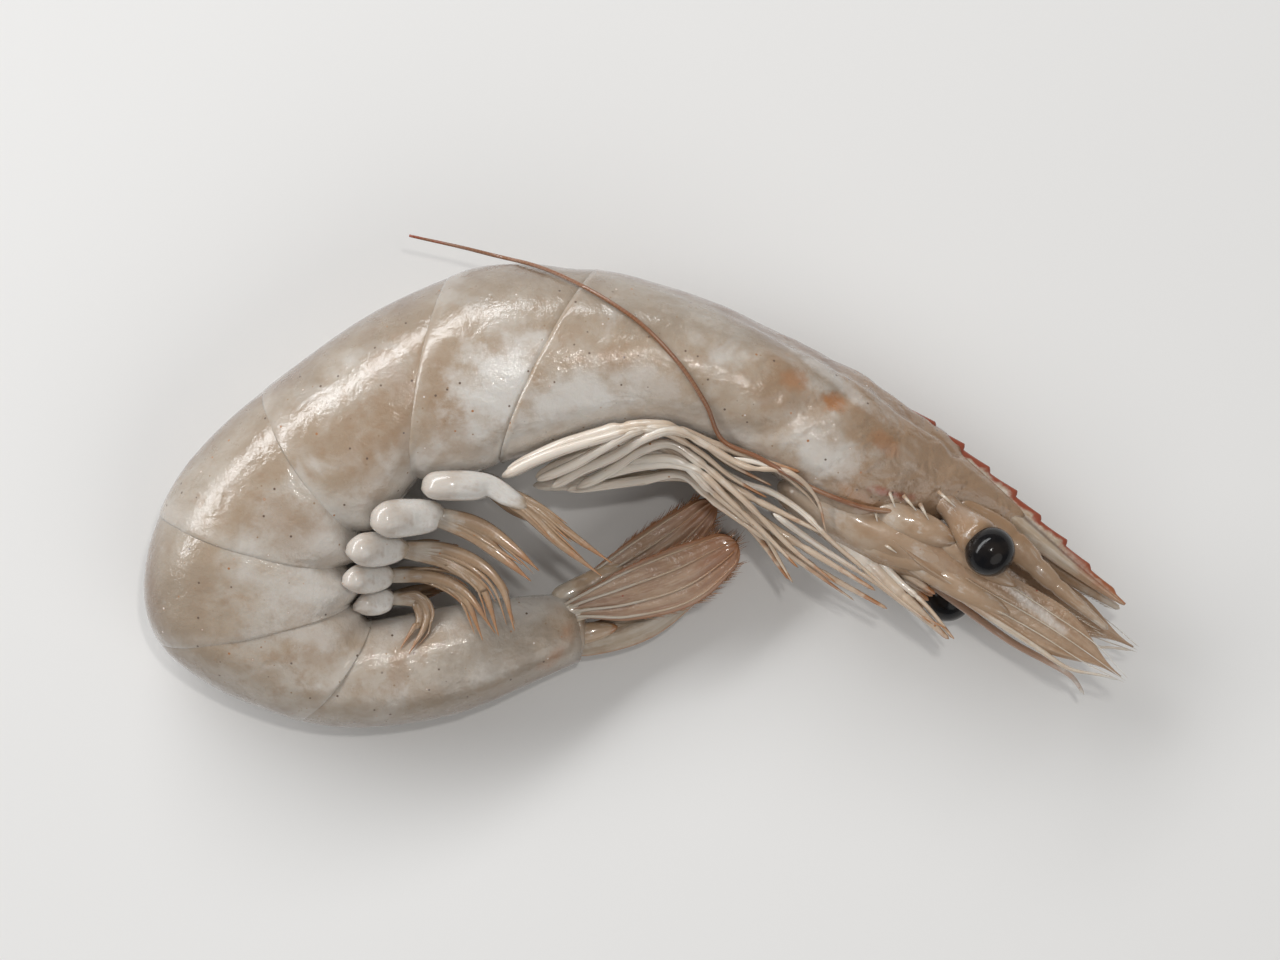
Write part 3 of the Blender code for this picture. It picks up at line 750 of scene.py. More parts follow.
def rostrum_material():
    """Pinkish brown blade with a red saw edge, painted shade in its groove and a pale lower rim."""
    tree = Tree("rostrum_blade")
    along, around = tree.uv()
    up = tree.maths("COSINE", tree.maths("MULTIPLY", around, math.tau))
    tree.colour = BEIGE
    tree.tint(PALE, tree.grain(6.0, 9.0), 0.4, 0.62)
    tree.tint(BROWN, tree.noise(0.5, 4.0), 0.48, 0.7, 0.5)
    groove = tree.maths("ABSOLUTE", tree.maths("SUBTRACT", up, 0.36))
    # Painted shade darkening the groove along the blade's side.
    tree.tint(GROOVE_SHADE, groove, 0.22, 0.02, 0.7)
    tree.tint(RUST, tree.ragged(up, tree.noise(0.7), 0.14), 0.6, 0.86, 0.95)
    tree.patch(RUST, (43.4, -6.6, 3.0, 0.9, -45.0), 0.7)
    tree.tint((0.45, 0.30, 0.21), up, -0.7, -0.95, 0.6)
    tree.tint(TAWNY, along, 0.8, 1.0, 0.6)
    return tree.wet(0.3, tree.bump(tree.noise(1.2), 0.06), scatter=0.12, reach=0.7)


EYES = {"right": (33.9, -5.2, 15.5), "left": (30.3, -9.8, 3.2)}
EYESTALK_ROOTS = {"right": (29.6, 0.4, 13.6), "left": (28.0, -3.4, 3.7)}


def make_eyes():
    """Glossy black eyes, a little flattened, each in a pale cup on a short stalk."""
    black = eye_material()
    stalk = limb_material("eyestalk_flesh", (0.33, 0.225, 0.15), (0.3, 0.2, 0.13), BROWN, tip_from=0.6)
    for side, spot in EYES.items():
        centre, root = Vector(spot), Vector(EYESTALK_ROOTS[side])
        way = (centre - root).normalized()
        across = way.orthogonal().normalized()
        other = way.cross(across)
        rings = []
        for i in range(1, 36):
            lean = math.pi * i / 36
            wide, at = 2.5 * math.sin(lean), -2.4 * math.cos(lean)
            angles = [k * math.tau / 56 for k in range(56)]
            ring = [centre + way * at + (across * math.cos(a) + other * math.sin(a)) * wide for a in angles]
            rings.append([place(*point) for point in ring])
        solid(f"eyeball_{side}", [rings], black, [f"eye_{side}"])
        # the stalk's hidden end, deep in the head
        back = root + Vector((-1.8, 1.2, 4.4 if side == "left" else -4.6))
        rows = []
        for share in shares(16):
            swell = 1.1 + 0.2 * share + 0.75 * step(0.45, 0.95, share)
            swell *= 0.88 if share > 0.99 else 1.0
            rows.append((*back.lerp(centre - way * 1.25, share), swell, swell * 0.95))
        swept(f"stalk_{side}", rows, stalk, [f"eyestalk_{side}"], 24)


# Plan place, height above the middle plane and half width.
SCALE_ROUTE = (
    (24.8, -3.4, 4.2, 0.9), (28.3, -5.0, 3.7, 2.0), (33.0, -8.3, 2.9, 2.1),
    (39.0, -12.0, 2.9, 2.3), (43.4, -14.9, 2.6, 2.3), (46.8, -17.4, 2.3, 0.6),
)
ANTENNULE_ROUTE = (
    (30.6, -0.6, 1.7, 1.2), (35.4, -3.6, 1.7, 1.5), (40.2, -8.2, 1.7, 1.2), (45.6, -12.8, 1.6, 0.35),
)
LEFT_SWING = 7.0  # degrees that the lower scale and antennule are turned up to the rostrum


def turned(rows, degrees):
    """Rows x, y and more, turned in plan about the first one."""
    spin = Matrix.Rotation(math.radians(degrees), 2)
    root = Vector(rows[0][:2])
    return [(*(root + spin @ (Vector(row[:2]) - root)), *row[2:]) for row in rows]


# Segments of the antenna's root: plan ends, height above the middle plane, half width.
ROOT_SEGMENTS = (
    ((20.0, -3.0), (29.4, -6.9), 3.3, 1.5),
    ((22.6, -1.0), (31.0, -4.4), 4.0, 1.5),
    ((25.0, -5.2), (36.4, -11.6), 3.0, 1.2),
    ((27.0, -2.4), (36.6, -8.6), 3.5, 1.1),
)
# Middle of the flesh between the head's limbs: x, y, half width, half thickness.
HEAD_CORE = (
    (13.5, 1.4, 1.6, 3.2), (18.0, -0.8, 2.7, 4.6), (23.0, -3.2, 3.4, 5.0),
    (28.0, -5.2, 3.3, 4.4), (33.0, -7.6, 2.0, 2.8), (37.8, -10.8, 0.8, 1.0),
)


def make_head_limbs():
    """The flesh between the head's limbs, then the limbs of each side. Returns the scales."""
    blade = blade_material(
        "antennal_scale_blade", (0.34, 0.215, 0.13), (0.42, 0.30, 0.205), (0.42, 0.28, 0.18), 1.5, 0.8, 0.9,
        # The last entry places a painted highlight along the middle of the scale.
        (38.6, -10.9, 3.6, 0.55, -39.0),
    )
    flesh = limb_material("antennule_flesh", BROWN, (0.36, 0.24, 0.15), PALE, tip_from=0.8, turn=0.4)
    pale = limb_material("head_strands", (0.40, 0.28, 0.19), (0.56, 0.47, 0.37), WHITE, turn=0.2)
    knob = limb_material("antenna_root_flesh", (0.46, 0.36, 0.27), (0.39, 0.265, 0.17), BROWN, 0.8, turn=0.3)
    core = [(x, y, MIDDLE, wide, thick) for x, y, wide, thick in smooth_rows(HEAD_CORE, 40)]
    swept("head_flesh", rounded(core, 1.5, 6.0), knob, sides=40, folds=lumps(1.6, 7))
    draw = random.Random(23)
    scales = []
    for side, sign in SIDES.items():
        swing = LEFT_SWING if side == "left" else 0.0
        route = turned(smooth_rows(SCALE_ROUTE, LONG), swing)
        scales.append(make_scale(side, sign, route, blade, pale))
        make_antennule(side, sign, swing, flesh)
        make_antenna_root(side, sign, swing, knob)
        make_scale_hairs(side, sign, route, pale, draw)
        hairs(f"head_spikes_{side}", [spike(sign, *row) for row in HEAD_SPIKES], pale, 8)
    return scales


def make_scale(side, sign, route, blade, pale):
    """A ribbed antennal scale with the spine along its outer edge. Returns the scale."""
    rows, last = [], LONG - 1
    for i, (x, y, up, wide) in enumerate(route):
        wide *= 1.06 - 0.9 * step(0.64, 1.0, i / last)
        rows.append((x, y, MIDDLE + sign * up, wide, 0.3 - 0.15 * i / last))

    def ribs(share, angle):
        edge = bell(math.cos(angle) - 0.8, 0.13) * 0.42
        mid = bell(math.cos(angle) + 0.05, 0.14) * 0.12
        swell = (edge + mid + 0.3 * abs(math.sin(angle))) * (1 - share) ** 0.35
        return math.copysign(swell, math.sin(angle))

    scale = swept(f"scale_blade_{side}", rows, blade, [f"antennal_scale_{side}"], 56, ribs)
    spine = []
    for i in range(18, LONG):
        x, y, z, _, _ = rows[i]
        way = heading(route, i)
        out = Vector((way.y, -way.x)) * route[i][3] * (1.0 - 0.3 * step(0.8, 1.0, i / last))
        size = 0.38 * (1 - step(0.5, 1.0, i / last) * 0.7)
        spine.append((x + out.x, y + out.y, z + sign * 0.15, size, size))
    swept(f"scale_spine_{side}", rounded(spine, 0.8, 0.6), pale, sides=12)
    return scale


def make_antennule(side, sign, swing, flesh):
    """The jointed stem of an antennule."""
    rows = []
    route = turned(smooth_rows(ANTENNULE_ROUTE, LONG + 10), swing)
    for share, (x, y, up, wide) in zip(shares(len(route)), route):
        pinch = sum(bell(share - at, 0.02) for at in (0.34, 0.52, 0.66))
        size = (1 - 0.16 * pinch) * (0.95 - 0.2 * step(0.3, 0.7, share))
        rows.append((x, y, MIDDLE + sign * up, wide * size, min(0.75, wide) * size))
    swept(f"antennule_stem_{side}", rounded(rows, 1.2, 0.3), flesh, [f"antennule_{side}"], 28)


def make_antenna_root(side, sign, swing, knob):
    """The swollen segments at an antenna's root."""
    segments = []
    for start, end, up, wide in ROOT_SEGMENTS:
        rows = []
        for share in shares(26):
            size = wide * (0.85 + 0.35 * math.sin(math.pi * share) - 0.25 * share)
            rows.append((*Vector(start).lerp(Vector(end), share), MIDDLE + sign * up, size, size * 0.66))
        rows = turned([(*SCALE_ROUTE[0][:2], 0, 0, 0), *rows], swing)[1:]
        segments.append(sweep_rings(rounded(rows, 2.2, 3.0), 24, lumps(1.6, 7)))
    solid(f"antenna_root_{side}", segments, knob)


def make_scale_hairs(side, sign, route, pale, draw):
    """Thin strands along an antennal scale, and the fringe on its inner edge."""
    lines = []
    for start, offset in ((0.05, -0.9), (0.3, 0.15), (0.1, 0.85)):
        height = 0.42 + 0.2 * draw.random()
        rows = []
        for i in range(40):
            share = start + (1.0 - start) * i / 39
            j = min(round(share * (LONG - 1)), LONG - 1)
            x, y, up, wide = route[j]
            way = heading(route, j)
            shift = offset * wide * (1 - 0.5 * share) + 0.2 * math.sin(5 * share + offset * 9)
            size = 0.13 * (1 - 0.7 * share)
            spot = Vector((x, y)) + Vector((way.y, -way.x)) * shift + way * 0.6 * share
            rows.append((*spot, MIDDLE + sign * (up + height), size, size))
        lines.append(sweep_rings(rounded(rows, 0.3, 0.3), 8))
    solid(f"scale_strands_{side}", lines, pale)
    fringe = []
    for i in [row for row in range(14, 50) for _ in range(3)]:
        x, y, up, wide = route[i]
        way = heading(route, i)
        edge = Vector((-way.y, way.x))
        base = Vector((x, y)) + edge * wide * 0.9
        tip = base + (way * 1.0 + edge * draw.uniform(0.1, 0.35)) * draw.uniform(0.7, 1.2)
        z = MIDDLE + sign * up
        lift = draw.uniform(-0.15, 0.15)
        fringe.append(([(*base, z), (*base.lerp(tip, 0.5), z + lift), (*tip, z + lift * 2)], 0.035))
    hairs(f"scale_fringe_{side}", fringe, pale)


def spike(sign, x, y, up, turn, length):
    """Points and radius of a small curved spine on the head."""
    way = Vector((math.cos(math.radians(turn)), math.sin(math.radians(turn))))
    tip = Vector((x, y)) + way * length
    middle = Vector((x, y)).lerp(tip, 0.5)
    z = MIDDLE + sign * up
    return [(x, y, z), (*middle, z + sign * 0.5), (*tip, z + sign * 0.7)], 0.24


# Small spines on the cheek and beside the eye: x, y, height above the middle, heading, length.
HEAD_SPIKES = (
    (24.2, 0.6, 5.0, -70.0, 1.6), (25.6, 0.2, 4.9, -50.0, 1.9), (27.2, -0.6, 4.6, -62.0, 1.7),
    (22.8, -1.0, 4.6, -80.0, 1.3), (29.0, 0.6, 4.2, -42.0, 2.2), (23.6, -4.4, 4.4, -35.0, 1.6),
    (20.6, -3.4, 3.8, -28.0, 2.0),
)


# Legs and swimmerets

LEG_ROUTES = (
    ((-12.9, 2.6), (-6.4, 5.4), (1.5, 7.0), (8.5, 4.7), (15.5, 2.5)),
    ((-10.1, 2.0), (-4.6, 4.6), (0.6, 5.7), (8.6, 1.2), (17.9, -3.5)),
    ((-7.1, 2.0), (-1.9, 4.2), (2.6, 4.8), (11.6, -2.0), (22.9, -9.0)),
    ((-2.9, 2.5), (2.9, 4.2), (7.9, 0.5), (14.1, -5.0), (24.1, -10.8)),
    ((-10.4, 1.2), (-2.5, 1.6), (4.9, 2.0), (10.4, -2.5), (14.6, -8.0)),
)
LEG_LANE = 1.4  # height from one leg's lane to the next
MAXILLIPED_ROUTE = ((18.2, -2.6), (21.4, -5.6), (25.4, -9.4), (30.1, -13.75))
MAXILLIPED_HEIGHT = 11.6
MOUTHPARTS_ROUTE = ((18.2, -2.2), (21.0, -4.4), (24.6, -6.6), (28.6, -9.6))


def limb_rows(route, half_widths, half_thickness, height, count, joints):
    """Rows along a limb, with its half widths spread along it and narrowed at its joints."""
    rows = []
    for share, (x, y) in zip(shares(count), smooth_rows(route, count)):
        at = share * (len(half_widths) - 1)
        wide = hermite(range(len(half_widths)), [(w,) for w in half_widths], at)[0]
        pinch = sum(bell(share - joint, 0.012) for joint in joints)
        knob = sum(bell(share - joint + 0.035, 0.02) for joint in joints)
        wide *= 1 - 0.28 * pinch + 0.14 * knob
        rows.append((x, y, height, wide, min(half_thickness * (1 - 0.15 * pinch), wide)))
    return rows


# Strands of the folded legs: plan points, height, half width at the root.
LEG_STRANDS = (
    (((-13.4, 2.0), (-10.4, 3.5), (-7.1, 4.75), (-3.6, 5.75), (-0.1, 6.6), (2.9, 6.1), (5.9, 4.4),
      (8.9, 2.0), (12.4, 0.0)), 14.6, 0.5),
    (((-8.6, 1.0), (-5.6, 2.75), (-2.6, 4.0), (0.4, 5.75), (3.4, 6.5), (6.6, 5.0), (10.4, 3.0),
      (14.4, 2.5), (17.1, 0.0), (18.1, -3.5)), 13.9, 0.5),
    (((-6.1, 1.0), (-3.1, 2.5), (-0.1, 4.5), (2.9, 5.25), (5.4, 3.75), (7.9, 1.75), (10.9, -1.0),
      (14.9, -5.0), (19.1, -8.25)), 12.9, 0.5),
    (((-2.1, 3.0), (0.9, 3.75), (3.9, 3.5), (6.6, 1.0), (9.9, -1.75), (12.1, -3.5), (13.4, -5.75),
      (14.9, -8.25)), 11.6, 0.46),
    (((-7.1, 0.75), (-3.4, 1.25), (0.4, 1.75), (4.1, 2.25), (7.1, -0.25), (10.9, -3.0),
      (15.9, -6.5), (20.9, -10.0)), 10.6, 0.46),
    (((6.6, 3.5), (9.9, 1.5), (12.9, 0.5), (15.9, -1.5), (18.4, -4.0), (21.9, -7.0), (25.4, -10.0),
      (28.4, -12.25)), 13.4, 0.32),
    (((9.0, 3.9), (12.6, 3.0), (15.9, 0.6), (17.6, -1.4)), 13.6, 0.24),
    (((-4.8, 1.9), (-1.6, 2.8), (0.6, 3.2), (3.2, 3.3), (5.8, 2.5), (8.4, 0.1), (12.0, -3.3),
      (15.4, -6.8)), 13.4, 0.5),
    (((-10.0, 1.7), (-6.4, 3.2), (-3.2, 5.0), (-0.4, 6.4), (2.4, 6.8), (5.0, 6.0), (8.6, 3.4),
      (12.8, 1.2)), 14.6, 0.46),
    (((12.9, -1.5), (17.9, -5.0), (22.9, -8.25), (26.6, -11.0), (29.9, -12.75)), 12.2, 0.3),
    (((22.9, -5.75), (25.4, -8.25), (27.9, -10.5), (30.6, -13.75)), 12.0, 0.34),
    (((20.4, -4.2), (23.2, -7.2), (26.2, -9.8), (28.8, -12.9)), 11.0, 0.3),
)


def make_legs(shell):
    """Walking legs with narrow joints, folded forwards in layers, and thin strands laid among
    them. Returns the upper legs."""
    flesh = limb_material("leg_flesh", (0.72, 0.64, 0.55), (0.58, 0.455, 0.34), TAWNY, 0.87, 0.55, turn=0.45)
    upper = []
    for number, route in enumerate(LEG_ROUTES, 1):
        height = MIDDLE + (len(LEG_ROUTES) - number + 0.46) * LEG_LANE
        rows = limb_rows(route, (0.62, 0.72, 0.6, 0.38, 0.16), 0.55, height, 90, (0.4, 0.58, 0.76))
        rows = rounded(laid_on(rows, shell, 0.12, 30), 2.4, 0.4)
        upper.append(swept(f"walking_leg_right_{number}", rows, flesh, [f"leg_right_{number}"]))
        swept(f"walking_leg_left_{number}", mirrored(rows), flesh, [f"leg_left_{number}"])
    strands = []
    for number, (route, height, wide) in enumerate(LEG_STRANDS):
        halves = (wide * 1.1, wide * 1.1, wide * 0.9, wide * 0.62, wide * 0.5, 0.08)
        joints = (0.46, 0.68) if len(route) > 6 else (0.5,)
        rows = limb_rows(route, halves, wide * 0.85, height, 80, joints)
        rows = [(x, y, z + 0.15 * math.sin(number + i / 14), w, t) for i, (x, y, z, w, t) in enumerate(rows)]
        strands.append(rounded(laid_on(rows, [*shell, *upper], 0.02, 60), 2.2, 0.3))
    for side in SIDES:
        sided = strands if side == "right" else [mirrored(rows) for rows in strands]
        solid(f"leg_strands_{side}", [sweep_rings(rows, 12) for rows in sided], flesh)
    make_mouth(flesh)
    return upper


MOUTHPARTS_SPREAD = ((-1.0, 0.9), (-0.4, -1.0), (0.2, 1.2), (0.7, -0.6), (1.1, 0.4), (0, 0))  # sideways, up


def make_mouth(flesh):
    """Maxillipeds, and the mouthparts between them as one cluster."""
    rows = limb_rows(MAXILLIPED_ROUTE, (0.6, 0.85, 0.62, 0.18), 0.7, MAXILLIPED_HEIGHT, 60, (0.35, 0.62))
    rows = rounded(rows, 0.6, 0.3)
    swept("jaw_leg_right", rows, flesh, ["maxilliped_right"])
    swept("jaw_leg_left", mirrored(rows), flesh, ["maxilliped_left"])
    bodies = []
    for lane, (shift, up) in enumerate(MOUTHPARTS_SPREAD):
        rows = limb_rows(MOUTHPARTS_ROUTE, (0.5, 0.8, 0.7, 0.2), 0.6, 9.6 + up, 50, (0.3, 0.5, 0.7))
        spread = [
            (x + 0.64 * shift * i / 34, y + 0.77 * shift * i / 34, z + 0.2 * math.sin(i / 7 + lane), w, t)
            for i, (x, y, z, w, t) in enumerate(rows)
        ]
        bodies.append(sweep_rings(rounded(spread, 0.6, 0.3), 12))
    solid("mouth_cluster", bodies, flesh, ["mouthparts"])


# Ends of the bulb, plan points of the blades, half width, height.
SWIMMERETS = (
    (((-20.2, 1.2), (-14.6, 1.2)), ((-10.9, -0.9), (-7.4, -3.8), (-3.1, -7.0)), 1.3, 15.2),
    (((-25.0, -2.1), (-19.6, -1.7)), ((-16.0, -3.2), (-12.6, -5.6), (-10.1, -7.6)), 1.6, 13.9),
    (((-27.6, -5.0), (-23.0, -5.0)), ((-18.4, -5.8), (-14.6, -8.4), (-12.9, -13.2)), 1.35, 12.4),
    (((-28.2, -8.0), (-24.4, -7.6)), ((-20.2, -7.6), (-17.0, -9.2), (-14.6, -13.6)), 1.2, 11.0),
    (((-27.4, -10.6), (-24.2, -9.8)), ((-21.6, -9.8), (-20.8, -11.8), (-22.9, -15.0)), 1.0, 9.7),
)
# Share of the bulb's length, share of its half width.
BULB_SHAPE = ((-0.14, 0.85), (0.1, 1.05), (0.42, 1.16), (0.76, 1.1), (1.0, 0.82))
STRANDS = 12  # of each swimmeret's blades
LEFT_BLADE_LENGTH = 5.2
LEFT_BLADE_HEADINGS = (-40.0, -25.0, 0.0, 5.0, 10.0)


def bulb_lumps(share, angle):
    """Shallow dents in a bulb, in millimetres."""
    return unevenness(angle, share * 2.2, 0.8) * 0.3 * math.sin(angle)


def make_swimmerets(rings):
    """Each swimmeret is a white bulb with brown blades behind it that fray into strands."""
    bulb_flesh = limb_material("swimmeret_bulb", (0.57, 0.51, 0.45), (0.68, 0.645, 0.6), BEIGE, 0.8, 0.35)
    blade_flesh = limb_material(
        "swimmeret_blade", (0.50, 0.42, 0.34), (0.36, 0.24, 0.15), TAWNY, 0.66, ribs=24.0, turn=0.15
    )
    draw = random.Random(7)
    for number, (bulb, blade, half_width, height) in enumerate(SWIMMERETS, 1):
        start, end = Vector(bulb[0]), Vector(bulb[1])
        turn = math.radians(LEFT_BLADE_HEADINGS[number - 1])
        reach = Vector((math.cos(turn), math.sin(turn))) * LEFT_BLADE_LENGTH
        blades = {"right": blade, "left": [end + reach * i / 3 for i in (1, 2, 3)]}
        ring_half_width = (ABDOMEN_RINGS[number - 1][4] + ABDOMEN_RINGS[number][4]) / 2
        heights = {"right": height, "left": 2 * lying_height(ring_half_width) - height}
        for side, spots in blades.items():
            z = heights[side]
            under = rings if side == "right" else []
            nodes = [f"swimmeret_{side}_{number}"]
            rows = bulb_rows(number, start, end, Vector(spots[0]), half_width, z)
            rows = laid_on(rounded(rows, 1.3, 0.9), under, 0.02, 150)
            swept(f"paddle_bulb_{side}_{number}", rows, bulb_flesh, nodes, 32, bulb_lumps)
            path = [start.lerp(end, 0.93), *(Vector(spot) for spot in spots)]
            bodies = []
            for strand in range(STRANDS):
                rows = laid_on(blade_rows(path, strand, half_width, z, draw), under, 0.06, 30)
                bodies.append(sweep_rings(rounded(rows, 0.5, 0.3), 10))
            solid(f"paddle_blades_{side}_{number}", bodies, blade_flesh, nodes)


def bulb_rows(number, start, end, ahead, half_width, z):
    """Rows of a swimmeret's bulb, which tapers towards the blades ahead of it."""
    stations = [(start.lerp(end, share), width) for share, width in BULB_SHAPE]
    taper = ((0.5, 0.72), (1.05, 0.34)) if number == 1 else ((0.14, 0.5),)
    stations += [(end.lerp(ahead, share), width) for share, width in taper]
    route = [(*spot, half_width * width, half_width * width * 0.8) for spot, width in stations]
    rows = []
    for i, (x, y, wide, thick) in enumerate(smooth_rows(route, 40)):
        wide *= 1 + 0.2 * noise.noise(Vector((number * 3.7, i / 24, 0.0)))
        rows.append((x, y, z, wide, min(thick, wide)))
    return rows


def blade_rows(path, strand, half_width, z, draw):
    """Rows of one strand of a swimmeret's blades. The first two strands are the blades."""
    if strand < 2:
        wide, fan, length = half_width * 0.56, strand - 0.5, 1.0
    else:
        wide = half_width * draw.uniform(0.16, 0.32)
        fan, length = draw.uniform(-1.0, 1.0), draw.uniform(0.6, 1.0)
    spread = fan * (0.11 * plan_knots(path)[-1])
    curl = draw.uniform(-0.5, 0.5)
    rise = draw.uniform(-0.3, 0.5)
    rows = []
    for share, (x, y) in zip(shares(44), smooth_rows([tuple(p) for p in path], 44)):
        if share > length:
            break
        j = min(int(share * 3), 2)
        way = (path[j + 1] - path[j]).normalized()
        shift = Vector((-way.y, way.x)) * (spread * share + curl * math.sin(math.pi * share))
        size = wide * max(1 - (share / length) ** 2.2, 0.1)
        rows.append((*(Vector((x, y)) + shift), z + rise * share, size, min(size, 0.3)))
    return rows


# Antennae and tail

ANTENNA_ROUTE = (
    (28.0, -3.2), (26.1, -1.7), (21.6, -0.9), (16.6, 1.0), (11.5, 3.9), (8.0, 5.6),
    (6.4, 9.0), (3.6, 13.2), (-0.9, 17.6), (-8.4, 21.9), (-15.5, 24.0), (-22.5, 25.6),
)
ANTENNA_RADII = (0.3, 0.34, 0.3, 0.29, 0.28, 0.26, 0.26, 0.25, 0.24, 0.22, 0.2, 0.15)
LEFT_ANTENNA_ROUTE = (
    (25.4, -5.4, 7.4, 0.7), (28.2, -7.8, 7.4, 0.7), (31.8, -10.8, 7.6, 0.42), (36.4, -14.1, 7.5, 0.36),
    (40.4, -16.3, 7.0, 0.32), (42.4, -17.6, 6.4, 0.26), (43.6, -19.3, 6.0, 0.16),
)


def make_antennae(under):
    """Ringed brown whips: one over the carapace, one under the head."""
    whip = limb_material(
        "antenna_whip", (0.34, 0.19, 0.105), (0.22, 0.085, 0.035), RUST, tip_from=0.9, ribs=160.0, turn=0.1
    )
    route = [(*spot, radius, radius) for spot, radius in zip(ANTENNA_ROUTE, ANTENNA_RADII)]
    rows = [(x, y, 9.0, wide * 0.9, thick * 0.9) for x, y, wide, thick in smooth_rows(route, 200)]
    rows = laid_on(rows, under, 0.1)
    swept("antenna_whip_right", rows, whip, ["antenna_right"], 10)
    lower = limb_material("antenna_lower", BEIGE, (0.42, 0.26, 0.175), WHITE, tip_from=0.7, turn=0.2)
    rows = [(x, y, z, r, r) for x, y, z, r in smooth_rows(LEFT_ANTENNA_ROUTE, 80)]
    swept("antenna_whip_left", rounded(rows, 0.6, 0.6), lower, ["antenna_left"], 12)


TELSON = (((-5.2, -14.0), 1.6), ((0.6, -12.2), 1.7), ((5.6, -8.9), 1.0), ((9.4, -5.6), 0.3))
UROPODS = {
    "outer": (((-6.4, -10.9), 0.9), ((-1.4, -9.6), 2.2), ((4.4, -7.6), 2.6), ((9.6, -4.4), 1.4)),
    "inner": (((-6.2, -9.4), 0.8), ((-1.6, -7.2), 1.8), ((3.4, -4.0), 2.0), ((7.4, -0.4), 1.0)),
}
FAN_HEIGHTS = {"outer": (2.6, 3.0), "inner": (1.3, 1.5)}
TELSON_HEIGHT = 3.5
FAN_HAIRS = 190  # on the rim of each uropod

# Root joints of the fan: plan ends, height over the telson, half width.
TAIL_KNOBS = (
    ((-8.6, -10.4), (-1.2, -6.6), 1.3, 1.25),
    ((-8.2, -11.7), (-0.6, -9.3), 2.2, 1.1),
    ((-8.0, -13.9), (-2.2, -12.7), 0.7, 1.1),
)


def make_tail():
    """The telson and four uropods, with ribs, root joints and a fringe of hairs."""
    web = blade_material(
        "tail_web", (0.30, 0.18, 0.115), (0.44, 0.31, 0.215), (0.31, 0.12, 0.045), 4.5, 0.62, 0.88
    )
    point = blade_material("telson_shell", BEIGE, PALE, TAWNY, 2.5)
    rows = [(*Vector((-7.6, -13.6)), 1.5), *((*spot, wide) for spot, wide in TELSON)]
    rows = [(x, y, TELSON_HEIGHT, wide, 0.55 * min(wide, 1)) for x, y, wide in smooth_rows(rows, 50)]

    def keel(_, angle):
        return math.copysign(bell(math.cos(angle), 0.2) * 0.28, math.sin(angle))

    swept("telson_piece", rounded(rows, 1.0, 0.3), point, ["telson"], 36, keel)
    draw = random.Random(41)
    fringe, lines = [], []
    for kind, spots in UROPODS.items():
        for side, sign in SIDES.items():
            path = uropod_path(spots, sign, *FAN_HEIGHTS[kind])
            rows = rounded([(*row[:3], row[3] * 1.14, 0.3) for row in path], 0.8, 1.6)
            nodes = [f"uropod_{kind}_{side}"]
            swept(f"fan_{kind}_{side}", rows, web, nodes, 56, fan_ribs)
            lines += [rib_line(path, rows, sign, offset) for offset in (-0.82, -0.3, 0.35, 0.84)]
            fringe += [fan_hair(path, rows, draw) for _ in range(FAN_HAIRS)]
    rib = limb_material("tail_rib", PALE, (0.44, 0.32, 0.22), TAWNY, tip_from=0.7, turn=0.4)
    knob = limb_material("tail_root_flesh", (0.56, 0.47, 0.37), (0.46, 0.33, 0.22), TAWNY, 0.8, 0.3)
    for side, sign in SIDES.items():
        knobs = []
        for start, end, up, wide in TAIL_KNOBS:
            spots = [Vector(start).lerp(Vector(end), share) for share in shares(20)]
            rows = [(*spot, TELSON_HEIGHT + sign * up, wide, wide * 0.7) for spot in spots]
            knobs.append(sweep_rings(rounded(rows, wide, 4.5), 20, lumps(1.3, 3)))
        solid(f"fan_root_{side}", knobs, knob)
    solid("tail_ribs", lines, rib)
    hair = limb_material("fringe_hair", TAWNY, TAWNY, RUST, tip_from=0.5, turn=0.2)
    hairs("tail_fringe", fringe, hair)


def uropod_path(spots, sign, root_up, tip_up):
    """Rows x, y, z, half width along a uropod, from inside the sixth ring."""
    (x, y), wide = spots[0]
    route = [(x - 1.9, y - 1.2, TELSON_HEIGHT + sign * root_up * 0.7, wide)]
    for i, (spot, wide) in enumerate(spots):
        route.append((*spot, TELSON_HEIGHT + sign * (root_up + (tip_up - root_up) * i / 3), wide))
    return smooth_rows(route, LONG)


def fan_ribs(share, angle):
    """Folds of a uropod: its middle rib, edge and veins."""
    line = bell(math.cos(angle), 0.09) * 0.2
    edge = bell(math.cos(angle) - 0.85, 0.1) * 0.16
    veins = 0.05 * math.sin(math.cos(angle) * 14)
    end = min(1.0, 6 * (1 - share))
    return math.copysign((line + edge + veins * (0.3 + share)) * end, math.sin(angle))


def rib_line(path, rows, sign, offset):
    """A raised rib along a uropod, at so many half widths from its middle."""
    line = []
    for i in range(4, LONG - 2):
        x, y, z, wide, _ = rows[i]
        way = heading(path, i)
        out = Vector((way.y, -way.x)) * wide * offset
        size = 0.17 * (1 - 0.6 * i / (LONG - 1))
        lift = sign * (0.3 + 0.08 * math.cos(offset * 3))
        line.append((x + out.x, y + out.y, z + lift, size, size))
    return sweep_rings(rounded(line, 0.4, 0.4), 8)


def fan_hair(path, rows, draw):
    """Points and radius of one hair on the rim of a uropod."""
    i = draw.randrange(24, LONG)
    way = heading(path, i, 3)
    across = way.cross(Vector((0, 0, 1)))
    edge = draw.choice((-1, 1)) * (0.95 if i < 56 else draw.uniform(0.0, 0.9))
    base = Vector(path[i][:3]) + across * edge * rows[i][3]
    lean = (way + across * edge * draw.uniform(0.1, 0.6)).normalized()
    tip = base + lean * draw.uniform(0.6, 1.5) + Vector((0, 0, draw.uniform(-0.2, 0.2)))
    return [tuple(base), tuple(base.lerp(tip, 0.5)), tuple(tip)], 0.05


# Floor, lights and camera


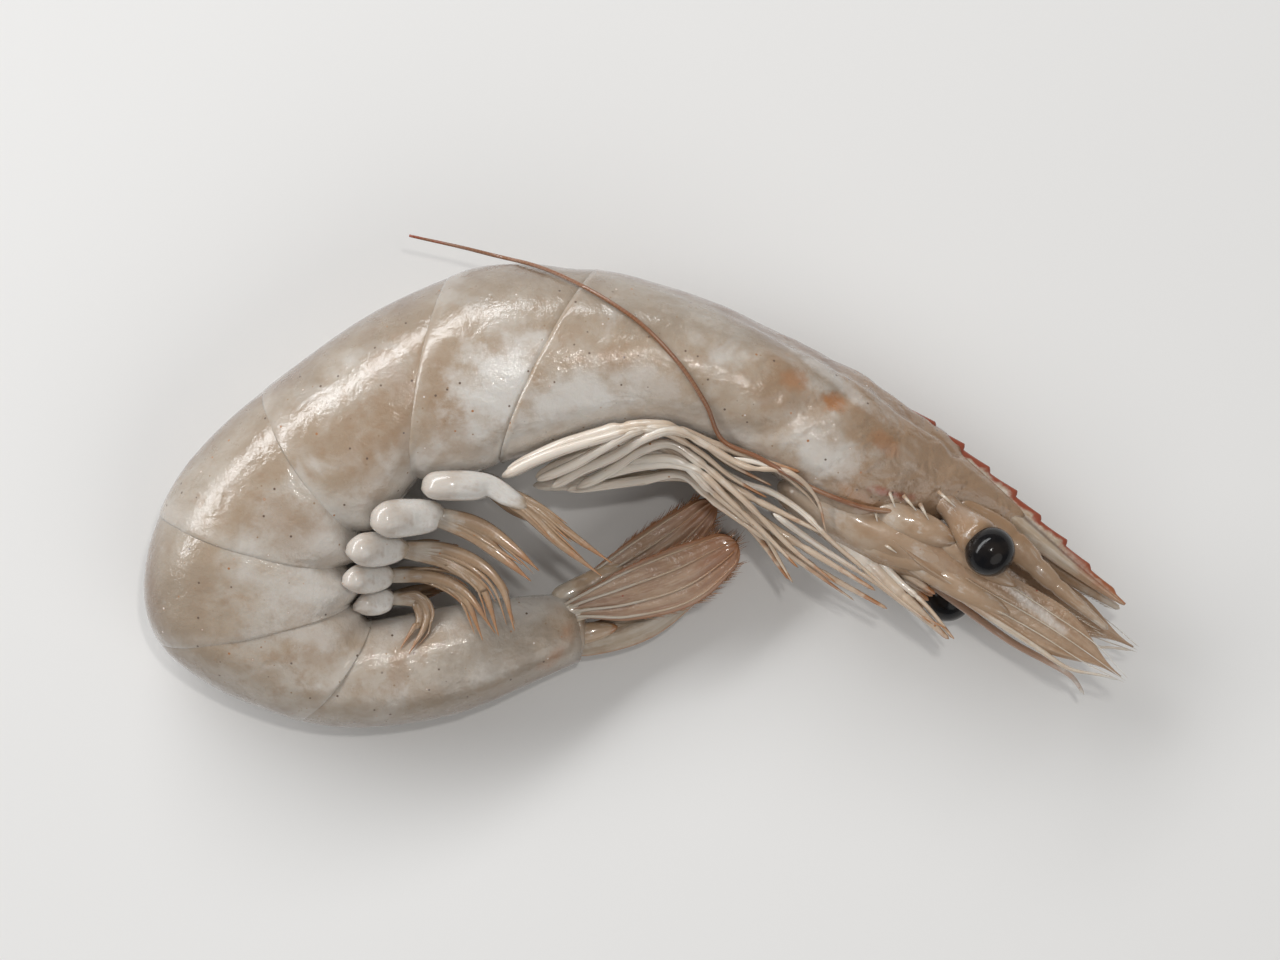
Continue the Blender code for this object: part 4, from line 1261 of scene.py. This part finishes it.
# Name, azimuth and elevation in degrees, distance and size in metres, power in watts, colour.
LIGHTS = (
    ("key", 135.0, 37.0, 0.7, (1.3, 0.155), 5.5, (0.97, 0.985, 1.0)),
    ("top", 60.0, 80.0, 0.9, (0.05, 0.05), 1.1, (1.0, 0.98, 0.95)),
    ("fill", -50.0, 42.0, 0.9, (0.9, 0.7), 1.7, (1.0, 0.98, 0.95)),
)
SENSOR_WIDTH = 36.0
VIEW_WIDTH = 0.125  # metres across the picture, at the middle of the prawn's height
MIDDLE_HEIGHT = 0.009
CAMERA_DISTANCE = 0.7


def make_stage():
    """A plain pale floor, a soft key light from the upper left, a small light from above and a
    weak even fill."""
    mesh = bpy.data.meshes.new("floor")
    corners = [(-3, -3, 0), (3, -3, 0), (3, 3, 0), (-3, 3, 0)]
    mesh.from_pydata([Vector(c) for c in corners], [], [(0, 1, 2, 3)])
    floor = bpy.data.objects.new("floor", mesh)
    bpy.context.scene.collection.objects.link(floor)
    tree = Tree("floor_matt")
    tree.colour = (0.76, 0.75, 0.735)
    tree.tint((0.79, 0.78, 0.765), tree.noise(0.004, 2.0), 0.3, 0.7)
    tree.put(tree.shader.inputs["Base Color"], tree.colour)
    tree.shader.inputs["Roughness"].default_value = 0.75
    mesh.materials.append(tree.material)
    world = bpy.data.worlds.new("studio")
    bpy.context.scene.world = world
    world.use_nodes = True
    background = world.node_tree.nodes["Background"]
    background.inputs["Color"].default_value = (0.985, 0.99, 1.0, 1.0)
    background.inputs["Strength"].default_value = 0.26
    for light in LIGHTS:
        area_light(*light)


def area_light(name, azimuth, elevation, distance, size, power, colour):
    """An oval light that faces the prawn. Azimuth is from +X towards +Y."""
    light = bpy.data.lights.new(name, "AREA")
    light.shape = "ELLIPSE"
    light.size, light.size_y = size
    light.energy = power
    light.color = colour
    lamp = bpy.data.objects.new(name, light)
    a, e = math.radians(azimuth), math.radians(elevation)
    lamp.location = Vector((math.cos(a) * math.cos(e), math.sin(a) * math.cos(e), math.sin(e))) * distance
    lamp.rotation_euler = lamp.location.to_track_quat("Z", "Y").to_euler()
    bpy.context.scene.collection.objects.link(lamp)


def make_camera():
    """Looks down on the prawn, as the photograph does, with the head to the lower right."""
    data = bpy.data.cameras.new("camera")
    data.sensor_width = SENSOR_WIDTH
    data.lens = SENSOR_WIDTH * CAMERA_DISTANCE / VIEW_WIDTH
    camera = bpy.data.objects.new("camera", data)
    camera.location = (0.0, 0.0, MIDDLE_HEIGHT + CAMERA_DISTANCE)
    bpy.context.scene.collection.objects.link(camera)
    bpy.context.scene.camera = camera
    bpy.context.scene.view_settings.view_transform = "Standard"


def main():
    """Builds the pieces, then the floor, lights and camera."""
    carapace = make_carapace()
    rings = make_abdomen()
    make_rostrum()
    make_eyes()
    upper_scale, _ = make_head_limbs()
    legs = make_legs([carapace])
    make_swimmerets(rings)
    make_antennae([carapace, rings[0], upper_scale, *legs])
    make_tail()
    make_stage()
    make_camera()


main()
